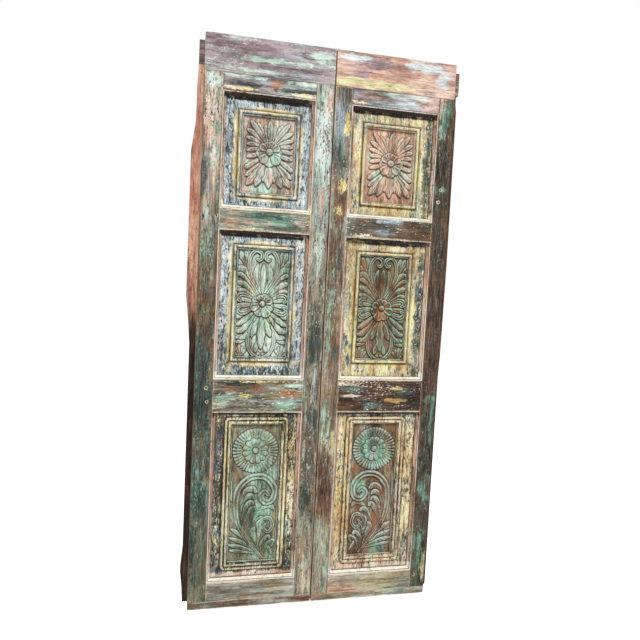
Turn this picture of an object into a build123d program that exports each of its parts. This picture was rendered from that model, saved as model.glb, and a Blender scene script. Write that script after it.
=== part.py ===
from build123d import *
from dataclasses import dataclass
import os

# Double sliding barn doors: two old carved leaves that close in front of a plain frame
# of two posts and a head. Each leaf hangs from a two stage sliding gear hidden behind its
# top board and is held in line by a guide on the floor.
# X runs to the right, Y away from the viewer and Z up. The origin is on the floor, at the
# meeting line of the closed leaves, in the middle of the depth from leaf face to wall.
# A leaf is drawn as the right hand one, outwards from the meeting line, and the left hand
# one is its mirror image with an outer stile of its own width.

# Leaf widths and heights
LEAF_WIDTH = 455.0
LEAF_THICKNESS = 45.0
MEETING_GAP = 4.0
FLOOR_GAP = 12.0
TOP_BOARD_HEIGHT = 126.0
TOP_RAIL_HEIGHT = 58.0
UPPER_MID_RAIL_HEIGHT = 71.0
LOWER_MID_RAIL_HEIGHT = 118.0
BOTTOM_RAIL_HEIGHT = 69.0
BOTTOM_STRIP_HEIGHT = 27.0
MEETING_STILE_WIDTH = 64.0
LEFT_OUTER_STILE_WIDTH = 65.0
RIGHT_OUTER_STILE_WIDTH = 59.0

# Joints of the leaf
TENON_LENGTH = 38.0
TENON_THICKNESS = 12.0
TENON_SHOULDER = 8.0
MORTISE_SLACK = 0.5

# Panels, planted mouldings and beads
UPPER_OPENING_HEIGHT = 399.0
MIDDLE_OPENING_HEIGHT = 530.0
LOWER_OPENING_HEIGHT = 634.0
SINGLE_BEAD_SIDE_MARGIN = 54.0
DOUBLE_BEAD_SIDE_MARGIN = 45.0
UPPER_END_MARGIN = 50.0
MIDDLE_END_MARGIN = 56.0
LOWER_END_MARGIN = 29.5
UPPER_BEAD_DROP = 4.0
MIDDLE_BEAD_LIFT = 6.5
LOWER_BEAD_LIFT = 6.5
LOWER_BEAD_SHIFT = 2.0
LOWER_BEAD_CORNER = 18.0
FIELD_SETBACK = 20.0
PANEL_THICKNESS = 16.0
TONGUE_THICKNESS = 8.0
TONGUE_LENGTH = 9.0
MOULDING_WIDTH = 14.0
MOULDING_SETBACK = 1.5
MOULDING_ARRIS = 4.0
MOULDING_STEP = 3.0
MOULDING_SHOULDER = 5.0
MOULDING_FALL = 10.0
MOULDING_FOOT = 1.0
BEAD_ROW = 14.0
BEAD_RISE = 8.0
BEAD_CHAMFER = 3.0
LEFT_AXIS_SHIFT = 3.0
RIGHT_AXIS_SHIFT = 6.5

# Carved inserts
INSERT_THICKNESS = 5.0
POCKET_DEPTH = 11.0
RELIEF_HEIGHT = 11.0
RELIEF_MARGIN = 1.0
RELIEF_ROOT = 1.0
LEAF_RISE = 7.0
CENTRE_LEAF_RISE = 8.0
PETAL_RISE = 9.0
SCROLL_RISE = 9.0
CUP_RISE = 7.0
HEART_WIDTH = 14.0
CUP_WIDTH = 12.0
STEM_WIDTH = 19.0
CURL_WIDTH = 14.0
SCROLL_TAPER = 0.45
SCROLL_STEPS = 7
SPRAY_ROOT = 34.0
UPPER_FLOWER_LIFT = 4.0
UPPER_FLOWER_RADIUS = 50.0
UPPER_BOSS_RADIUS = 13.0
MIDDLE_FLOWER_RADIUS = 47.0
MIDDLE_BOSS_RADIUS = 11.0
ROSETTE_RADIUS = 83.0
ROSETTE_LIFT = 160.0
ROSETTE_FLUTES = 16
PETALS = 8
BOSS_SIDES = 12
BOSS_TAPER = 28.0

# Frame
LEAF_OVERLAP = 37.0
POST_DEPTH = 60.0
HEAD_HEIGHT = 84.0
LEFT_POST_WIDTH = 55.0
RIGHT_POST_WIDTH = 79.0
RIGHT_HEAD_OVERHANG = 9.0
WANE_SETBACK = 10.0
POST_TENON_WIDTH = 34.0
POST_TENON_THICKNESS = 20.0
POST_TENON_HEIGHT = 50.0
WALL_BOLT_RADIUS = 5.0
WALL_BOLT_INSET = 18.0
WALL_BOLT_LOW = 300.0
WALL_BOLT_DROP = 210.0

# How far the rough bark edge stands beyond the planed edge, from the head downwards, as
# pairs of a share of the post's height and an overhang
LEFT_WANE = ((0.97, 3), (0.903, 4), (0.849, 18), (0.584, 19), (0.533, 8), (0.495, 3),
             (0.097, 3), (0.058, 10), (0.028, 3))
RIGHT_WANE = ((0.97, 9), (0.663, 11), (0.482, 8), (0.41, 2), (0.031, 2))

# Sliding gear
CHANNEL_HEIGHT = 36.0
CHANNEL_DEPTH = 15.0
CHANNEL_WALL = 2.0
CHANNEL_LIP = 8.0
CHANNEL_DROP = 42.0
CHANNEL_INNER_INSET = 4.0
CHANNEL_OUTER_INSET = 4.0
STOP_LENGTH = 8.0
BAR_HEIGHT = 30.0
BAR_THICKNESS = 4.0
BAR_CORNER = 8.0
BAR_GAP = 1.5
WHEEL_CLEARANCE = 0.3
WHEEL_WIDTH = 8.0
WHEEL_SIDE_GAP = 0.4
AXLE_RADIUS = 4.0
AXLE_CLEARANCE = 0.08

# Floor guides
GUIDE_INSET = 5.0
GUIDE_WIDTH = 30.0
GUIDE_LEG = 4.0
GUIDE_HEIGHT = 34.0
FIN_THICKNESS = 5.0
FIN_RISE = 12.0
FIN_CLEARANCE = 0.5
GROOVE_DEPTH = 15.0


@dataclass(frozen=True)
class PanelSize:
    """One framed panel: its opening's height, the margins between the opening and the bead
    frame round its carving, how far that frame is raised and set outwards, its rows of bead
    and its outer corners."""

    name: str
    opening_height: float
    side_margin: float
    end_margin: float
    bead_lift: float
    bead_shift: float
    bead_rows: int
    bead_corner: float


UPPER = PanelSize("upper", UPPER_OPENING_HEIGHT, SINGLE_BEAD_SIDE_MARGIN, UPPER_END_MARGIN,
                  -UPPER_BEAD_DROP, 0.0, 1, 0.0)
MIDDLE = PanelSize("middle", MIDDLE_OPENING_HEIGHT, SINGLE_BEAD_SIDE_MARGIN, MIDDLE_END_MARGIN,
                   MIDDLE_BEAD_LIFT, 0.0, 1, 0.0)
LOWER = PanelSize("lower", LOWER_OPENING_HEIGHT, DOUBLE_BEAD_SIDE_MARGIN, LOWER_END_MARGIN,
                  LOWER_BEAD_LIFT, LOWER_BEAD_SHIFT, 2, LOWER_BEAD_CORNER)

# Heights up the leaf, from the floor
STRIP_TOP = FLOOR_GAP + BOTTOM_STRIP_HEIGHT
LOWER_BOTTOM = STRIP_TOP + BOTTOM_RAIL_HEIGHT
LOWER_TOP = LOWER_BOTTOM + LOWER.opening_height
MIDDLE_BOTTOM = LOWER_TOP + LOWER_MID_RAIL_HEIGHT
MIDDLE_TOP = MIDDLE_BOTTOM + MIDDLE.opening_height
UPPER_BOTTOM = MIDDLE_TOP + UPPER_MID_RAIL_HEIGHT
UPPER_TOP = UPPER_BOTTOM + UPPER.opening_height
BOARD_BOTTOM = UPPER_TOP + TOP_RAIL_HEIGHT
LEAF_TOP = BOARD_BOTTOM + TOP_BOARD_HEIGHT

# Depths, from the leaf's face to the wall
GEAR_GAP = 2 * CHANNEL_DEPTH + 2 * BAR_GAP + BAR_THICKNESS
FRONT = -(LEAF_THICKNESS + GEAR_GAP + POST_DEPTH) / 2
LEAF_BACK = FRONT + LEAF_THICKNESS
FRAME_FRONT = LEAF_BACK + GEAR_GAP
WALL = FRAME_FRONT + POST_DEPTH
FIELD = FRONT + FIELD_SETBACK

# Places across the leaf and of the gear
MEETING_EDGE = MEETING_GAP / 2
OUTER_EDGE = MEETING_EDGE + LEAF_WIDTH
OPENING_START = MEETING_EDGE + MEETING_STILE_WIDTH
BEADED_WIDTH = LEAF_WIDTH - MEETING_STILE_WIDTH - LEFT_OUTER_STILE_WIDTH
OPENING_HALF = OUTER_EDGE - LEAF_OVERLAP
TRAVEL = OPENING_HALF
LEFT_PLANED_EDGE = OPENING_HALF + LEFT_POST_WIDTH
RIGHT_PLANED_EDGE = OPENING_HALF + RIGHT_POST_WIDTH
LEFT_HEAD_END = LEFT_PLANED_EDGE
RIGHT_HEAD_END = RIGHT_PLANED_EDGE + RIGHT_HEAD_OVERHANG
HEAD_BOTTOM = LEAF_TOP - HEAD_HEIGHT
CHANNEL_Z = LEAF_TOP - CHANNEL_DROP
CHANNEL_START = MEETING_EDGE + CHANNEL_INNER_INSET
CHANNEL_END = OUTER_EDGE - CHANNEL_OUTER_INSET
WHEEL_RADIUS = CHANNEL_HEIGHT / 2 - CHANNEL_WALL - WHEEL_CLEARANCE
FIRST_WHEEL = CHANNEL_START + STOP_LENGTH + WHEEL_CLEARANCE + WHEEL_RADIUS
LAST_WHEEL = CHANNEL_END - STOP_LENGTH - WHEEL_CLEARANCE - WHEEL_RADIUS
HEAD_WHEELS = (FIRST_WHEEL, LAST_WHEEL - TRAVEL / 2)
LEAF_WHEELS = (FIRST_WHEEL + TRAVEL / 2, LAST_WHEEL)
BAR_FRONT = LEAF_BACK + CHANNEL_DEPTH + BAR_GAP
GUIDE_START = OPENING_HALF + GUIDE_INSET
GUIDE_FIN_Y = FRONT + LEAF_THICKNESS / 2


def block(x0, x1, y0, y1, z0, z1):
    """A box between two corners."""
    corner = (Align.MIN, Align.MIN, Align.MIN)
    return Pos(x0, y0, z0) * Box(x1 - x0, y1 - y0, z1 - z0, align=corner)


def facing_viewer(shape, x, y, z):
    """Stand a shape drawn on the XY plane upright, its front to the viewer, at a point."""
    return Pos(x, y, z) * Rot(90, 0, 0) * shape


# Carving, drawn on the XY plane with its height along Z. The leaves of a spray are given as
# the turn from upright in degrees, the reach from the middle of the flower and the width

UPPER_CENTRE_LEAVES = ((0, 117, 36), (180, 135, 34))
UPPER_SIDE_LEAVES = ((26, 105, 22), (38, 138, 30), (62, 98, 26), (87, 90, 24),
                     (112, 92, 24), (132, 116, 26), (149, 158, 32), (165, 116, 20))
MIDDLE_CENTRE_LEAVES = ((0, 138, 30), (180, 166, 40))
MIDDLE_SIDE_LEAVES = ((40, 146, 28), (56, 112, 24), (77, 94, 24), (102, 92, 24),
                      (132, 130, 28), (158, 132, 22))

# Leaves that fan out from a place of their own, as across, up and turns in degrees
HEART_CORNER = (54, 134, (30,))
CUP_CORNER = (50, -122, (104, 132, 160))
FOOT_BLADES = (-18, -246, (42, 55, 68, 81))
FOOT_LEAVES = (-40, -240, (-20, 10))
STEM_LOBES = ((38, 34, -125), (58, -18, -140), (56, -68, -152), (34, -120, -165),
              (2, 44, 175), (10, -80, 195))
CORNER_LEAF = (58, 20)
FOOT_BLADE = (116, 15)
FOOT_LEAF = (66, 18)
STEM_LOBE = (60, 26)

# Arcs of the scrolls, each through three points
HEART_ARCS = (((10, 45), (41, 96), (48, 145)), ((48, 145), (30, 183), (7, 170)),
              ((7, 170), (10, 157), (24, 160)))
CUP_ARCS = (((30, -70), (49, -125), (36, -174)), ((36, -174), (20, -186), (0, -188)))
STEM_ARCS = (((-31, -249), (30, -180), (66, -107)), ((66, -107), (76, -35), (56, 22)),
             ((56, 22), (-10, 62), (-74, 8)), ((-74, 8), (-66, -30), (-37, -38)),
             ((-37, -38), (-14, -12), (-34, 6)))
CURL_ARCS = (((6, -186), (-6, -128), (-40, -104)), ((-40, -104), (-74, -128), (-52, -156)),
             ((-52, -156), (-34, -150), (-36, -134)))

# Shape of a leaf, petal or flute, as shares of its length and half width
BLADE_WIDEST = 0.45
BLADE_ROOT = 0.5
ROOF_SPREAD = 1.7
PETAL_WIDTH = 0.62
PETAL_WIDEST = 0.66
PETAL_ROOT = 0.2
COLLAR_SHARE = 0.6
ROSETTE_FLOWER = 0.56
FLUTE_START = 0.5
FLUTE_WIDTH = 0.34
FLUTE_WIDEST = 0.8


def ridged_blade(length, width, height, root=BLADE_ROOT, widest=BLADE_WIDEST):
    """A pointed leaf or petal along +Y that falls to both sides of a ridge down its middle."""
    half = width / 2
    outline = Polyline((root * half, 0), (half, widest * length), (0, length),
                       (-half, widest * length), (-root * half, 0), close=True)
    outline = extrude(make_face(outline), height)
    spread = ROOF_SPREAD * half
    gable = make_face(Polyline((-spread, 0), (spread, 0), (0, height), close=True))
    return outline & extrude(Plane.XZ * gable, length, dir=(0, 1, 0))


def placed(shape, x, y, turn):
    """Turn a drawn element about its root, clockwise from straight up, and move it."""
    return Pos(x, y, 0) * Rot(0, 0, -turn) * shape


def both_sides(shapes):
    """The elements with their mirror images about the carving's upright axis."""
    return [*shapes, *(mirror(shape, about=Plane.YZ) for shape in shapes)]


def scroll(arcs, width, height):
    """A raised band that narrows along arcs that follow on each other."""
    lines = [ThreePointArc(*arc) for arc in arcs]
    shares = [step / SCROLL_STEPS for step in range(SCROLL_STEPS)]
    stations = [(line @ share, line % share) for line in lines for share in shares]
    stations.append((lines[-1] @ 1, lines[-1] % 1))
    outer, inner = [], []
    for number, (point, along) in enumerate(stations):
        half = width / 2 * (1 - SCROLL_TAPER * number / len(stations))
        across = along.rotate(Axis.Z, 90) * half
        outer.append(point + across)
        inner.append(point - across)
    return extrude(make_face(Polyline(*outer, *reversed(inner), close=True)), height)


def flower(radius, boss_radius):
    """Broad petals in a ring round a raised boss."""
    step = 360 / PETALS
    petal = ridged_blade(radius, PETAL_WIDTH * radius, PETAL_RISE, PETAL_ROOT, PETAL_WIDEST)
    ring = [placed(petal, 0, 0, step * (i + 0.5)) for i in range(PETALS)]
    boss = extrude(RegularPolygon(boss_radius, BOSS_SIDES), RELIEF_HEIGHT, taper=BOSS_TAPER)
    return [*ring, boss]


def spray(leaves, height):
    """Leaves that radiate from under a flower."""
    drawn = [(turn, Pos(0, SPRAY_ROOT, 0) * ridged_blade(reach - SPRAY_ROOT, width, height))
             for turn, reach, width in leaves]
    return [placed(leaf, 0, 0, turn) for turn, leaf in drawn]


def fan(place, size, height):
    """Equal leaves from one place, spread at several turns."""
    x, y, turns = place
    return [placed(ridged_blade(*size, height), x, y, turn) for turn in turns]


def upper_carving():
    """A flower in a spray of long ribbed leaves, drawn round the flower's middle."""
    upright = spray(UPPER_CENTRE_LEAVES, CENTRE_LEAF_RISE)
    right = spray(UPPER_SIDE_LEAVES, LEAF_RISE)
    return [*upright, *both_sides(right), *flower(UPPER_FLOWER_RADIUS, UPPER_BOSS_RADIUS)]


def middle_carving():
    """A flower between a heart of two scrolls above and a cupped leaf below."""
    upright = spray(MIDDLE_CENTRE_LEAVES, CENTRE_LEAF_RISE)
    right = spray(MIDDLE_SIDE_LEAVES, LEAF_RISE)
    right += fan(HEART_CORNER, CORNER_LEAF, LEAF_RISE) + fan(CUP_CORNER, CORNER_LEAF, LEAF_RISE)
    right += [scroll(HEART_ARCS, HEART_WIDTH, SCROLL_RISE), scroll(CUP_ARCS, CUP_WIDTH, CUP_RISE)]
    return [*upright, *both_sides(right), *flower(MIDDLE_FLOWER_RADIUS, MIDDLE_BOSS_RADIUS)]


def rosette(radius):
    """A ruff of flutes round a smaller flower on a collar."""
    root = FLUTE_START * radius
    flute = ridged_blade(radius - root, FLUTE_WIDTH * radius, LEAF_RISE, widest=FLUTE_WIDEST)
    step = 360 / ROSETTE_FLUTES
    ring = [placed(Pos(0, root, 0) * flute, 0, 0, step * i) for i in range(ROSETTE_FLUTES)]
    collar = extrude(RegularPolygon(COLLAR_SHARE * radius, ROSETTE_FLUTES), LEAF_RISE)
    return [*ring, collar, *flower(ROSETTE_FLOWER * radius, UPPER_BOSS_RADIUS)]


def lower_carving():
    """A ribbed rosette above a large scrolled leaf with a fan of blades at its foot."""
    parts = [Pos(0, ROSETTE_LIFT, 0) * piece for piece in rosette(ROSETTE_RADIUS)]
    parts += [scroll(STEM_ARCS, STEM_WIDTH, SCROLL_RISE)]
    parts += [scroll(CURL_ARCS, CURL_WIDTH, CENTRE_LEAF_RISE)]
    lobe = ridged_blade(*STEM_LOBE, CENTRE_LEAF_RISE)
    parts += [placed(lobe, x, y, turn) for x, y, turn in STEM_LOBES]
    parts += fan(FOOT_BLADES, FOOT_BLADE, LEAF_RISE) + fan(FOOT_LEAVES, FOOT_LEAF, LEAF_RISE)
    return parts


CARVINGS = {UPPER.name: (upper_carving, UPPER_FLOWER_LIFT), MIDDLE.name: (middle_carving, 0.0),
            LOWER.name: (lower_carving, 0.0)}


def bead_width(panel):
    """Outer width of the bead frame, alike on both leaves."""
    return BEADED_WIDTH - 2 * panel.side_margin


def bead_height(panel):
    """Outer height of the bead frame."""
    return panel.opening_height - 2 * panel.end_margin


def insert_width(panel):
    """Clear width inside a panel's bead frame."""
    return bead_width(panel) - 2 * panel.bead_rows * BEAD_ROW


def insert_height(panel):
    """Clear height inside a panel's bead frame."""
    return bead_height(panel) - 2 * panel.bead_rows * BEAD_ROW


def carved_insert(panel):
    """The carved board that lies in a panel's pocket, drawn on the XY plane."""
    width, height = insert_width(panel), insert_height(panel)
    board = extrude(Rectangle(width, height), INSERT_THICKNESS)
    draw, lift = CARVINGS[panel.name]
    trimmed = extrude(Rectangle(width - 2 * RELIEF_MARGIN, height - 2 * RELIEF_MARGIN),
                      INSERT_THICKNESS + RELIEF_HEIGHT)
    root = Pos(0, lift, INSERT_THICKNESS - RELIEF_ROOT)
    pieces = [root * piece for piece in draw()]
    relief = pieces[0].fuse(*pieces[1:])
    return board + (relief & trimmed)


# The leaf, as the right hand one


def opening_end(outer_stile):
    """Where a leaf's panel openings end across its width."""
    return OUTER_EDGE - outer_stile


def axis_x(panel, outer_stile):
    """The upright line on which a panel's carving is centred."""
    shift = LEFT_AXIS_SHIFT if outer_stile == LEFT_OUTER_STILE_WIDTH else RIGHT_AXIS_SHIFT
    return (OPENING_START + opening_end(outer_stile)) / 2 - shift + panel.bead_shift


def tongue_groove(outer_stile, bottom, top):
    """The groove that one panel's tongue runs in, as the space that it takes."""
    reach = TONGUE_LENGTH + MORTISE_SLACK
    middle = FIELD + PANEL_THICKNESS / 2
    return block(OPENING_START - reach, opening_end(outer_stile) + reach,
                 middle - TONGUE_THICKNESS / 2, middle + TONGUE_THICKNESS / 2,
                 bottom - reach, top + reach)


def panel_grooves(outer_stile):
    """The grooves of all three panels."""
    spans = ((UPPER_BOTTOM, UPPER_TOP), (MIDDLE_BOTTOM, MIDDLE_TOP), (LOWER_BOTTOM, LOWER_TOP))
    return [tongue_groove(outer_stile, bottom, top) for bottom, top in spans]


def rail_tenons(outer_stile, bottom, top, slack):
    """The two tenons of a rail, or with a slack the mortises that take them."""
    middle = FRONT + LEAF_THICKNESS / 2
    half = TENON_THICKNESS / 2 + slack
    low, high = bottom + TENON_SHOULDER - slack, top - TENON_SHOULDER + slack
    end = opening_end(outer_stile)
    length = TENON_LENGTH + slack
    inner = block(OPENING_START - length, OPENING_START, middle - half, middle + half, low, high)
    outer = block(end, end + length, middle - half, middle + half, low, high)
    return [inner, outer]


RAILS = {
    "top_rail": (UPPER_TOP, BOARD_BOTTOM),
    "upper_mid_rail": (MIDDLE_TOP, UPPER_BOTTOM),
    "lower_mid_rail": (LOWER_TOP, MIDDLE_BOTTOM),
    "bottom_rail": (STRIP_TOP, LOWER_BOTTOM),
}


def stile(x0, x1, outer_stile):
    """An upright of the leaf, grooved for the panels and mortised for the rails."""
    body = block(x0, x1, FRONT, LEAF_BACK, STRIP_TOP, BOARD_BOTTOM)
    body -= panel_grooves(outer_stile)
    for bottom, top in RAILS.values():
        body -= rail_tenons(outer_stile, bottom, top, MORTISE_SLACK)
    return body


def rail(outer_stile, bottom, top):
    """A cross piece with its tenons, grooved along the edges that hold a panel."""
    body = block(OPENING_START, opening_end(outer_stile), FRONT, LEAF_BACK, bottom, top)
    body += rail_tenons(outer_stile, bottom, top, 0)
    return body - panel_grooves(outer_stile)


def bead_frame(panel):
    """The raised bead round a carving, with one or two rows, on the XY plane."""
    frame = Part()
    for row in range(panel.bead_rows):
        shrink = 2 * row * BEAD_ROW
        width, height = bead_width(panel) - shrink, bead_height(panel) - shrink
        rounded = panel.bead_corner and not row
        outer = Rectangle(width, height)
        if rounded:
            outer = RectangleRounded(width, height, panel.bead_corner)
        inner = Rectangle(width - 2 * BEAD_ROW, height - 2 * BEAD_ROW)
        ring = extrude(outer - inner, BEAD_RISE)
        frame += chamfer(ring.faces().sort_by(Axis.Z)[-1].edges(), BEAD_CHAMFER)
    return frame


def panel_board(panel, outer_stile, bottom, top):
    """A panel with its tongue, the bead on its face and the pocket for the carving."""
    start, end = OPENING_START, opening_end(outer_stile)
    back = FIELD + PANEL_THICKNESS
    tongue = (PANEL_THICKNESS - TONGUE_THICKNESS) / 2
    board = block(start, end, FIELD, back, bottom, top)
    board += block(start - TONGUE_LENGTH, end + TONGUE_LENGTH, FIELD + tongue, back - tongue,
                   bottom - TONGUE_LENGTH, top + TONGUE_LENGTH)
    middle = (axis_x(panel, outer_stile), (bottom + top) / 2 + panel.bead_lift)
    board += facing_viewer(bead_frame(panel), middle[0], FIELD, middle[1])
    pocket = extrude(Rectangle(insert_width(panel), insert_height(panel)), POCKET_DEPTH)
    return board - facing_viewer(pocket, middle[0], FIELD + POCKET_DEPTH, middle[1])


def moulding_profile():
    """Section of a planted moulding: a flat arris, a step and a fall to the panel."""
    depth = FIELD_SETBACK - MOULDING_SETBACK
    step = MOULDING_ARRIS + MOULDING_FOOT
    shoulder = (MOULDING_WIDTH - 2 * MOULDING_FOOT, depth - MOULDING_SHOULDER)
    low = (MOULDING_WIDTH, depth - MOULDING_FALL)
    return make_face(Polyline((0, 0), (0, depth), (MOULDING_ARRIS, depth),
                              (step, depth - MOULDING_STEP), shoulder, low,
                              (MOULDING_WIDTH, 0), close=True))


def mitred_stick(length):
    """A moulding along +X against the line Y = 0, cut at 45 degrees at both ends."""
    section = Plane.YZ * moulding_profile()
    plan = make_face(Polyline((0, 0), (length, 0), (length - MOULDING_WIDTH, MOULDING_WIDTH),
                              (MOULDING_WIDTH, MOULDING_WIDTH), close=True))
    return extrude(section, length) & extrude(plan, FIELD_SETBACK)


def panel_moulding(outer_stile, bottom, top):
    """The four mitred sticks planted round a panel's opening."""
    width, height = opening_end(outer_stile) - OPENING_START, top - bottom
    across, upright = mitred_stick(width), mitred_stick(height)
    corners = (Pos(0, 0, 0), Pos(width, 0, 0) * Rot(0, 0, 90),
               Pos(width, height, 0) * Rot(0, 0, 180), Pos(0, height, 0) * Rot(0, 0, 270))
    sticks = [corner * (upright if i % 2 else across) for i, corner in enumerate(corners)]
    return [facing_viewer(stick, OPENING_START, FIELD, bottom) for stick in sticks]


def groove_for_fin():
    """The groove under a leaf that the floor guide's fin runs in."""
    half = FIN_THICKNESS / 2 + FIN_CLEARANCE
    return block(MEETING_EDGE, OUTER_EDGE, GUIDE_FIN_Y - half, GUIDE_FIN_Y + half,
                 FLOOR_GAP, FLOOR_GAP + GROOVE_DEPTH)


def lipped_channel(back, toward_wall):
    """A rolled channel whose back lies on the plane Y = back and whose slot faces away."""
    wall = CHANNEL_WALL
    outline = Rectangle(CHANNEL_DEPTH, CHANNEL_HEIGHT, align=(Align.MIN, Align.CENTER))
    hollow = Pos(wall, 0) * Rectangle(CHANNEL_DEPTH - 2 * wall, CHANNEL_HEIGHT - 2 * wall,
                                      align=(Align.MIN, Align.CENTER))
    slot = Rectangle(CHANNEL_DEPTH, CHANNEL_HEIGHT - 2 * CHANNEL_LIP,
                     align=(Align.MIN, Align.CENTER))
    section = outline - hollow - Pos(wall, 0) * slot
    if toward_wall:
        section = mirror(section, about=Plane.YZ)
    length = CHANNEL_END - CHANNEL_START
    return Pos(CHANNEL_START, back, CHANNEL_Z) * extrude(Plane.YZ * section, length)


def leaf_nodes(side, outer_stile):
    """All fixed pieces of a leaf, drawn as the right hand one."""
    end = opening_end(outer_stile)
    nodes = {
        "top_board": block(MEETING_EDGE, OUTER_EDGE, FRONT, LEAF_BACK, BOARD_BOTTOM, LEAF_TOP),
        "bottom_strip": block(MEETING_EDGE, OUTER_EDGE, FRONT, LEAF_BACK, FLOOR_GAP, STRIP_TOP)
        - groove_for_fin(),
        "meeting_stile": stile(MEETING_EDGE, OPENING_START, outer_stile),
        "outer_stile": stile(end, OUTER_EDGE, outer_stile),
        "hanging_channel": lipped_channel(LEAF_BACK, False),
        "channel_stops": channel_stops(LEAF_BACK, False),
    }
    for name, (bottom, top) in RAILS.items():
        nodes[name] = rail(outer_stile, bottom, top)
    spans = ((UPPER, UPPER_BOTTOM, UPPER_TOP), (MIDDLE, MIDDLE_BOTTOM, MIDDLE_TOP),
             (LOWER, LOWER_BOTTOM, LOWER_TOP))
    for panel, bottom, top in spans:
        nodes[f"{panel.name}_panel"] = panel_board(panel, outer_stile, bottom, top)
        nodes[f"{panel.name}_moulding"] = panel_moulding(outer_stile, bottom, top)
        nodes[f"{panel.name}_carving"] = facing_viewer(
            INSERTS[panel.name], axis_x(panel, outer_stile), FIELD + POCKET_DEPTH,
            (bottom + top) / 2 + panel.bead_lift)
    return {f"{side}_{name}": shape for name, shape in nodes.items()}


# The sliding gear, as the right hand one


def wheel(x, bar_face, turned):
    """A roller in its channel, on the pin that stands on one face of the carriage bar."""
    start = (Align.CENTER, Align.CENTER, Align.MIN)
    body = Cylinder(WHEEL_RADIUS, WHEEL_WIDTH, align=start)
    body -= Cylinder(AXLE_RADIUS + AXLE_CLEARANCE, 3 * WHEEL_WIDTH)
    turn = Rot(90 if turned else -90, 0, 0)
    inset = BAR_GAP + CHANNEL_WALL + WHEEL_SIDE_GAP
    return Pos(x, bar_face, CHANNEL_Z) * turn * Pos(0, 0, inset) * body


def axle(x, bar_face, turned):
    """A pin welded to the bar that carries one roller."""
    reach = BAR_GAP + CHANNEL_WALL + WHEEL_SIDE_GAP + WHEEL_WIDTH
    pin = Cylinder(AXLE_RADIUS, reach, align=(Align.CENTER, Align.CENTER, Align.MIN))
    return Pos(x, bar_face, CHANNEL_Z) * Rot(90 if turned else -90, 0, 0) * pin


def carriage_nodes(side):
    """The bar that rides between both channels, its axles and its four wheels."""
    reach = WHEEL_RADIUS
    length = LEAF_WHEELS[1] - HEAD_WHEELS[0] + 2 * reach
    bar_back = BAR_FRONT + BAR_THICKNESS
    bar = extrude(Plane.XZ * Rectangle(length, BAR_HEIGHT), BAR_THICKNESS, dir=(0, 1, 0))
    bar = chamfer(bar.edges().filter_by(Axis.Y), BAR_CORNER)
    bar = Pos((LEAF_WHEELS[1] + HEAD_WHEELS[0]) / 2, BAR_FRONT, CHANNEL_Z) * bar
    axles = [axle(x, bar_back, False) for x in HEAD_WHEELS]
    axles += [axle(x, BAR_FRONT, True) for x in LEAF_WHEELS]
    nodes = {"carriage_bar": bar, "carriage_axles": axles}
    for number, x in enumerate(HEAD_WHEELS, 1):
        nodes[f"head_wheel_{number}"] = wheel(x, bar_back, False)
    for number, x in enumerate(LEAF_WHEELS, 1):
        nodes[f"leaf_wheel_{number}"] = wheel(x, BAR_FRONT, True)
    return {f"{side}_{name}": shape for name, shape in nodes.items()}


def channel_stop(x, back_face, toward_wall):
    """A block that fills a channel's end."""
    depth = CHANNEL_DEPTH - 2 * CHANNEL_WALL
    half = CHANNEL_HEIGHT / 2 - CHANNEL_WALL
    y = back_face - CHANNEL_WALL - depth if toward_wall else back_face + CHANNEL_WALL
    return block(x, x + STOP_LENGTH, y, y + depth, CHANNEL_Z - half, CHANNEL_Z + half)


def channel_stops(back_face, toward_wall):
    """The stops at both ends of one channel."""
    ends = (CHANNEL_START, CHANNEL_END - STOP_LENGTH)
    return [channel_stop(x, back_face, toward_wall) for x in ends]


# The frame


def floor_guide():
    """A folded bracket on the floor whose fin stands in the leaf's groove."""
    start, end = GUIDE_START, GUIDE_START + GUIDE_WIDTH
    fin_front = GUIDE_FIN_Y - FIN_THICKNESS / 2
    body = block(start, end, fin_front, FRAME_FRONT, 0, GUIDE_LEG)
    body += block(start, end, fin_front, fin_front + FIN_THICKNESS, 0, FLOOR_GAP + FIN_RISE)
    body += block(start, end, FRAME_FRONT - GUIDE_LEG, FRAME_FRONT, 0, GUIDE_HEIGHT)
    return body


def wall_bolt_hole(z):
    """A clear hole through a post for a wall bolt, as the space that it takes."""
    hole = Cylinder(WALL_BOLT_RADIUS, POST_DEPTH, align=(Align.CENTER, Align.CENTER, Align.MIN))
    return Pos(OPENING_HALF + WALL_BOLT_INSET, FRAME_FRONT, z) * Rot(-90, 0, 0) * hole


def post_tenon(edge, slack):
    """The tenon on a post's top, or with a slack the mortise in the head."""
    middle_x = (OPENING_HALF + edge) / 2
    middle_y = FRAME_FRONT + POST_DEPTH / 2
    half_x = POST_TENON_WIDTH / 2 + slack
    half_y = POST_TENON_THICKNESS / 2 + slack
    return block(middle_x - half_x, middle_x + half_x, middle_y - half_y, middle_y + half_y,
                 HEAD_BOTTOM, HEAD_BOTTOM + POST_TENON_HEIGHT + slack)


def post(edge, wane):
    """A post with one planed face and a rough bark edge, and a tenon on its top."""
    planed = block(OPENING_HALF, edge, FRAME_FRONT, WALL, 0, HEAD_BOTTOM)
    bark = [(edge + overhang, share * HEAD_BOTTOM) for share, overhang in wane]
    outline = make_face(Polyline((edge, HEAD_BOTTOM), *bark, (edge, 0), close=True))
    rough = extrude(Plane.XZ * outline, POST_DEPTH - WANE_SETBACK, dir=(0, 1, 0))
    body = planed + Pos(0, FRAME_FRONT + WANE_SETBACK, 0) * rough
    body += post_tenon(edge, 0)
    heights = (WALL_BOLT_LOW, HEAD_BOTTOM - WALL_BOLT_DROP)
    return body - [wall_bolt_hole(z) for z in heights]


def left(shape):
    """The mirror image of a right hand piece, or of each piece of a group."""
    if isinstance(shape, list):
        return [mirror(piece, about=Plane.YZ) for piece in shape]
    return mirror(shape, about=Plane.YZ)


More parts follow.
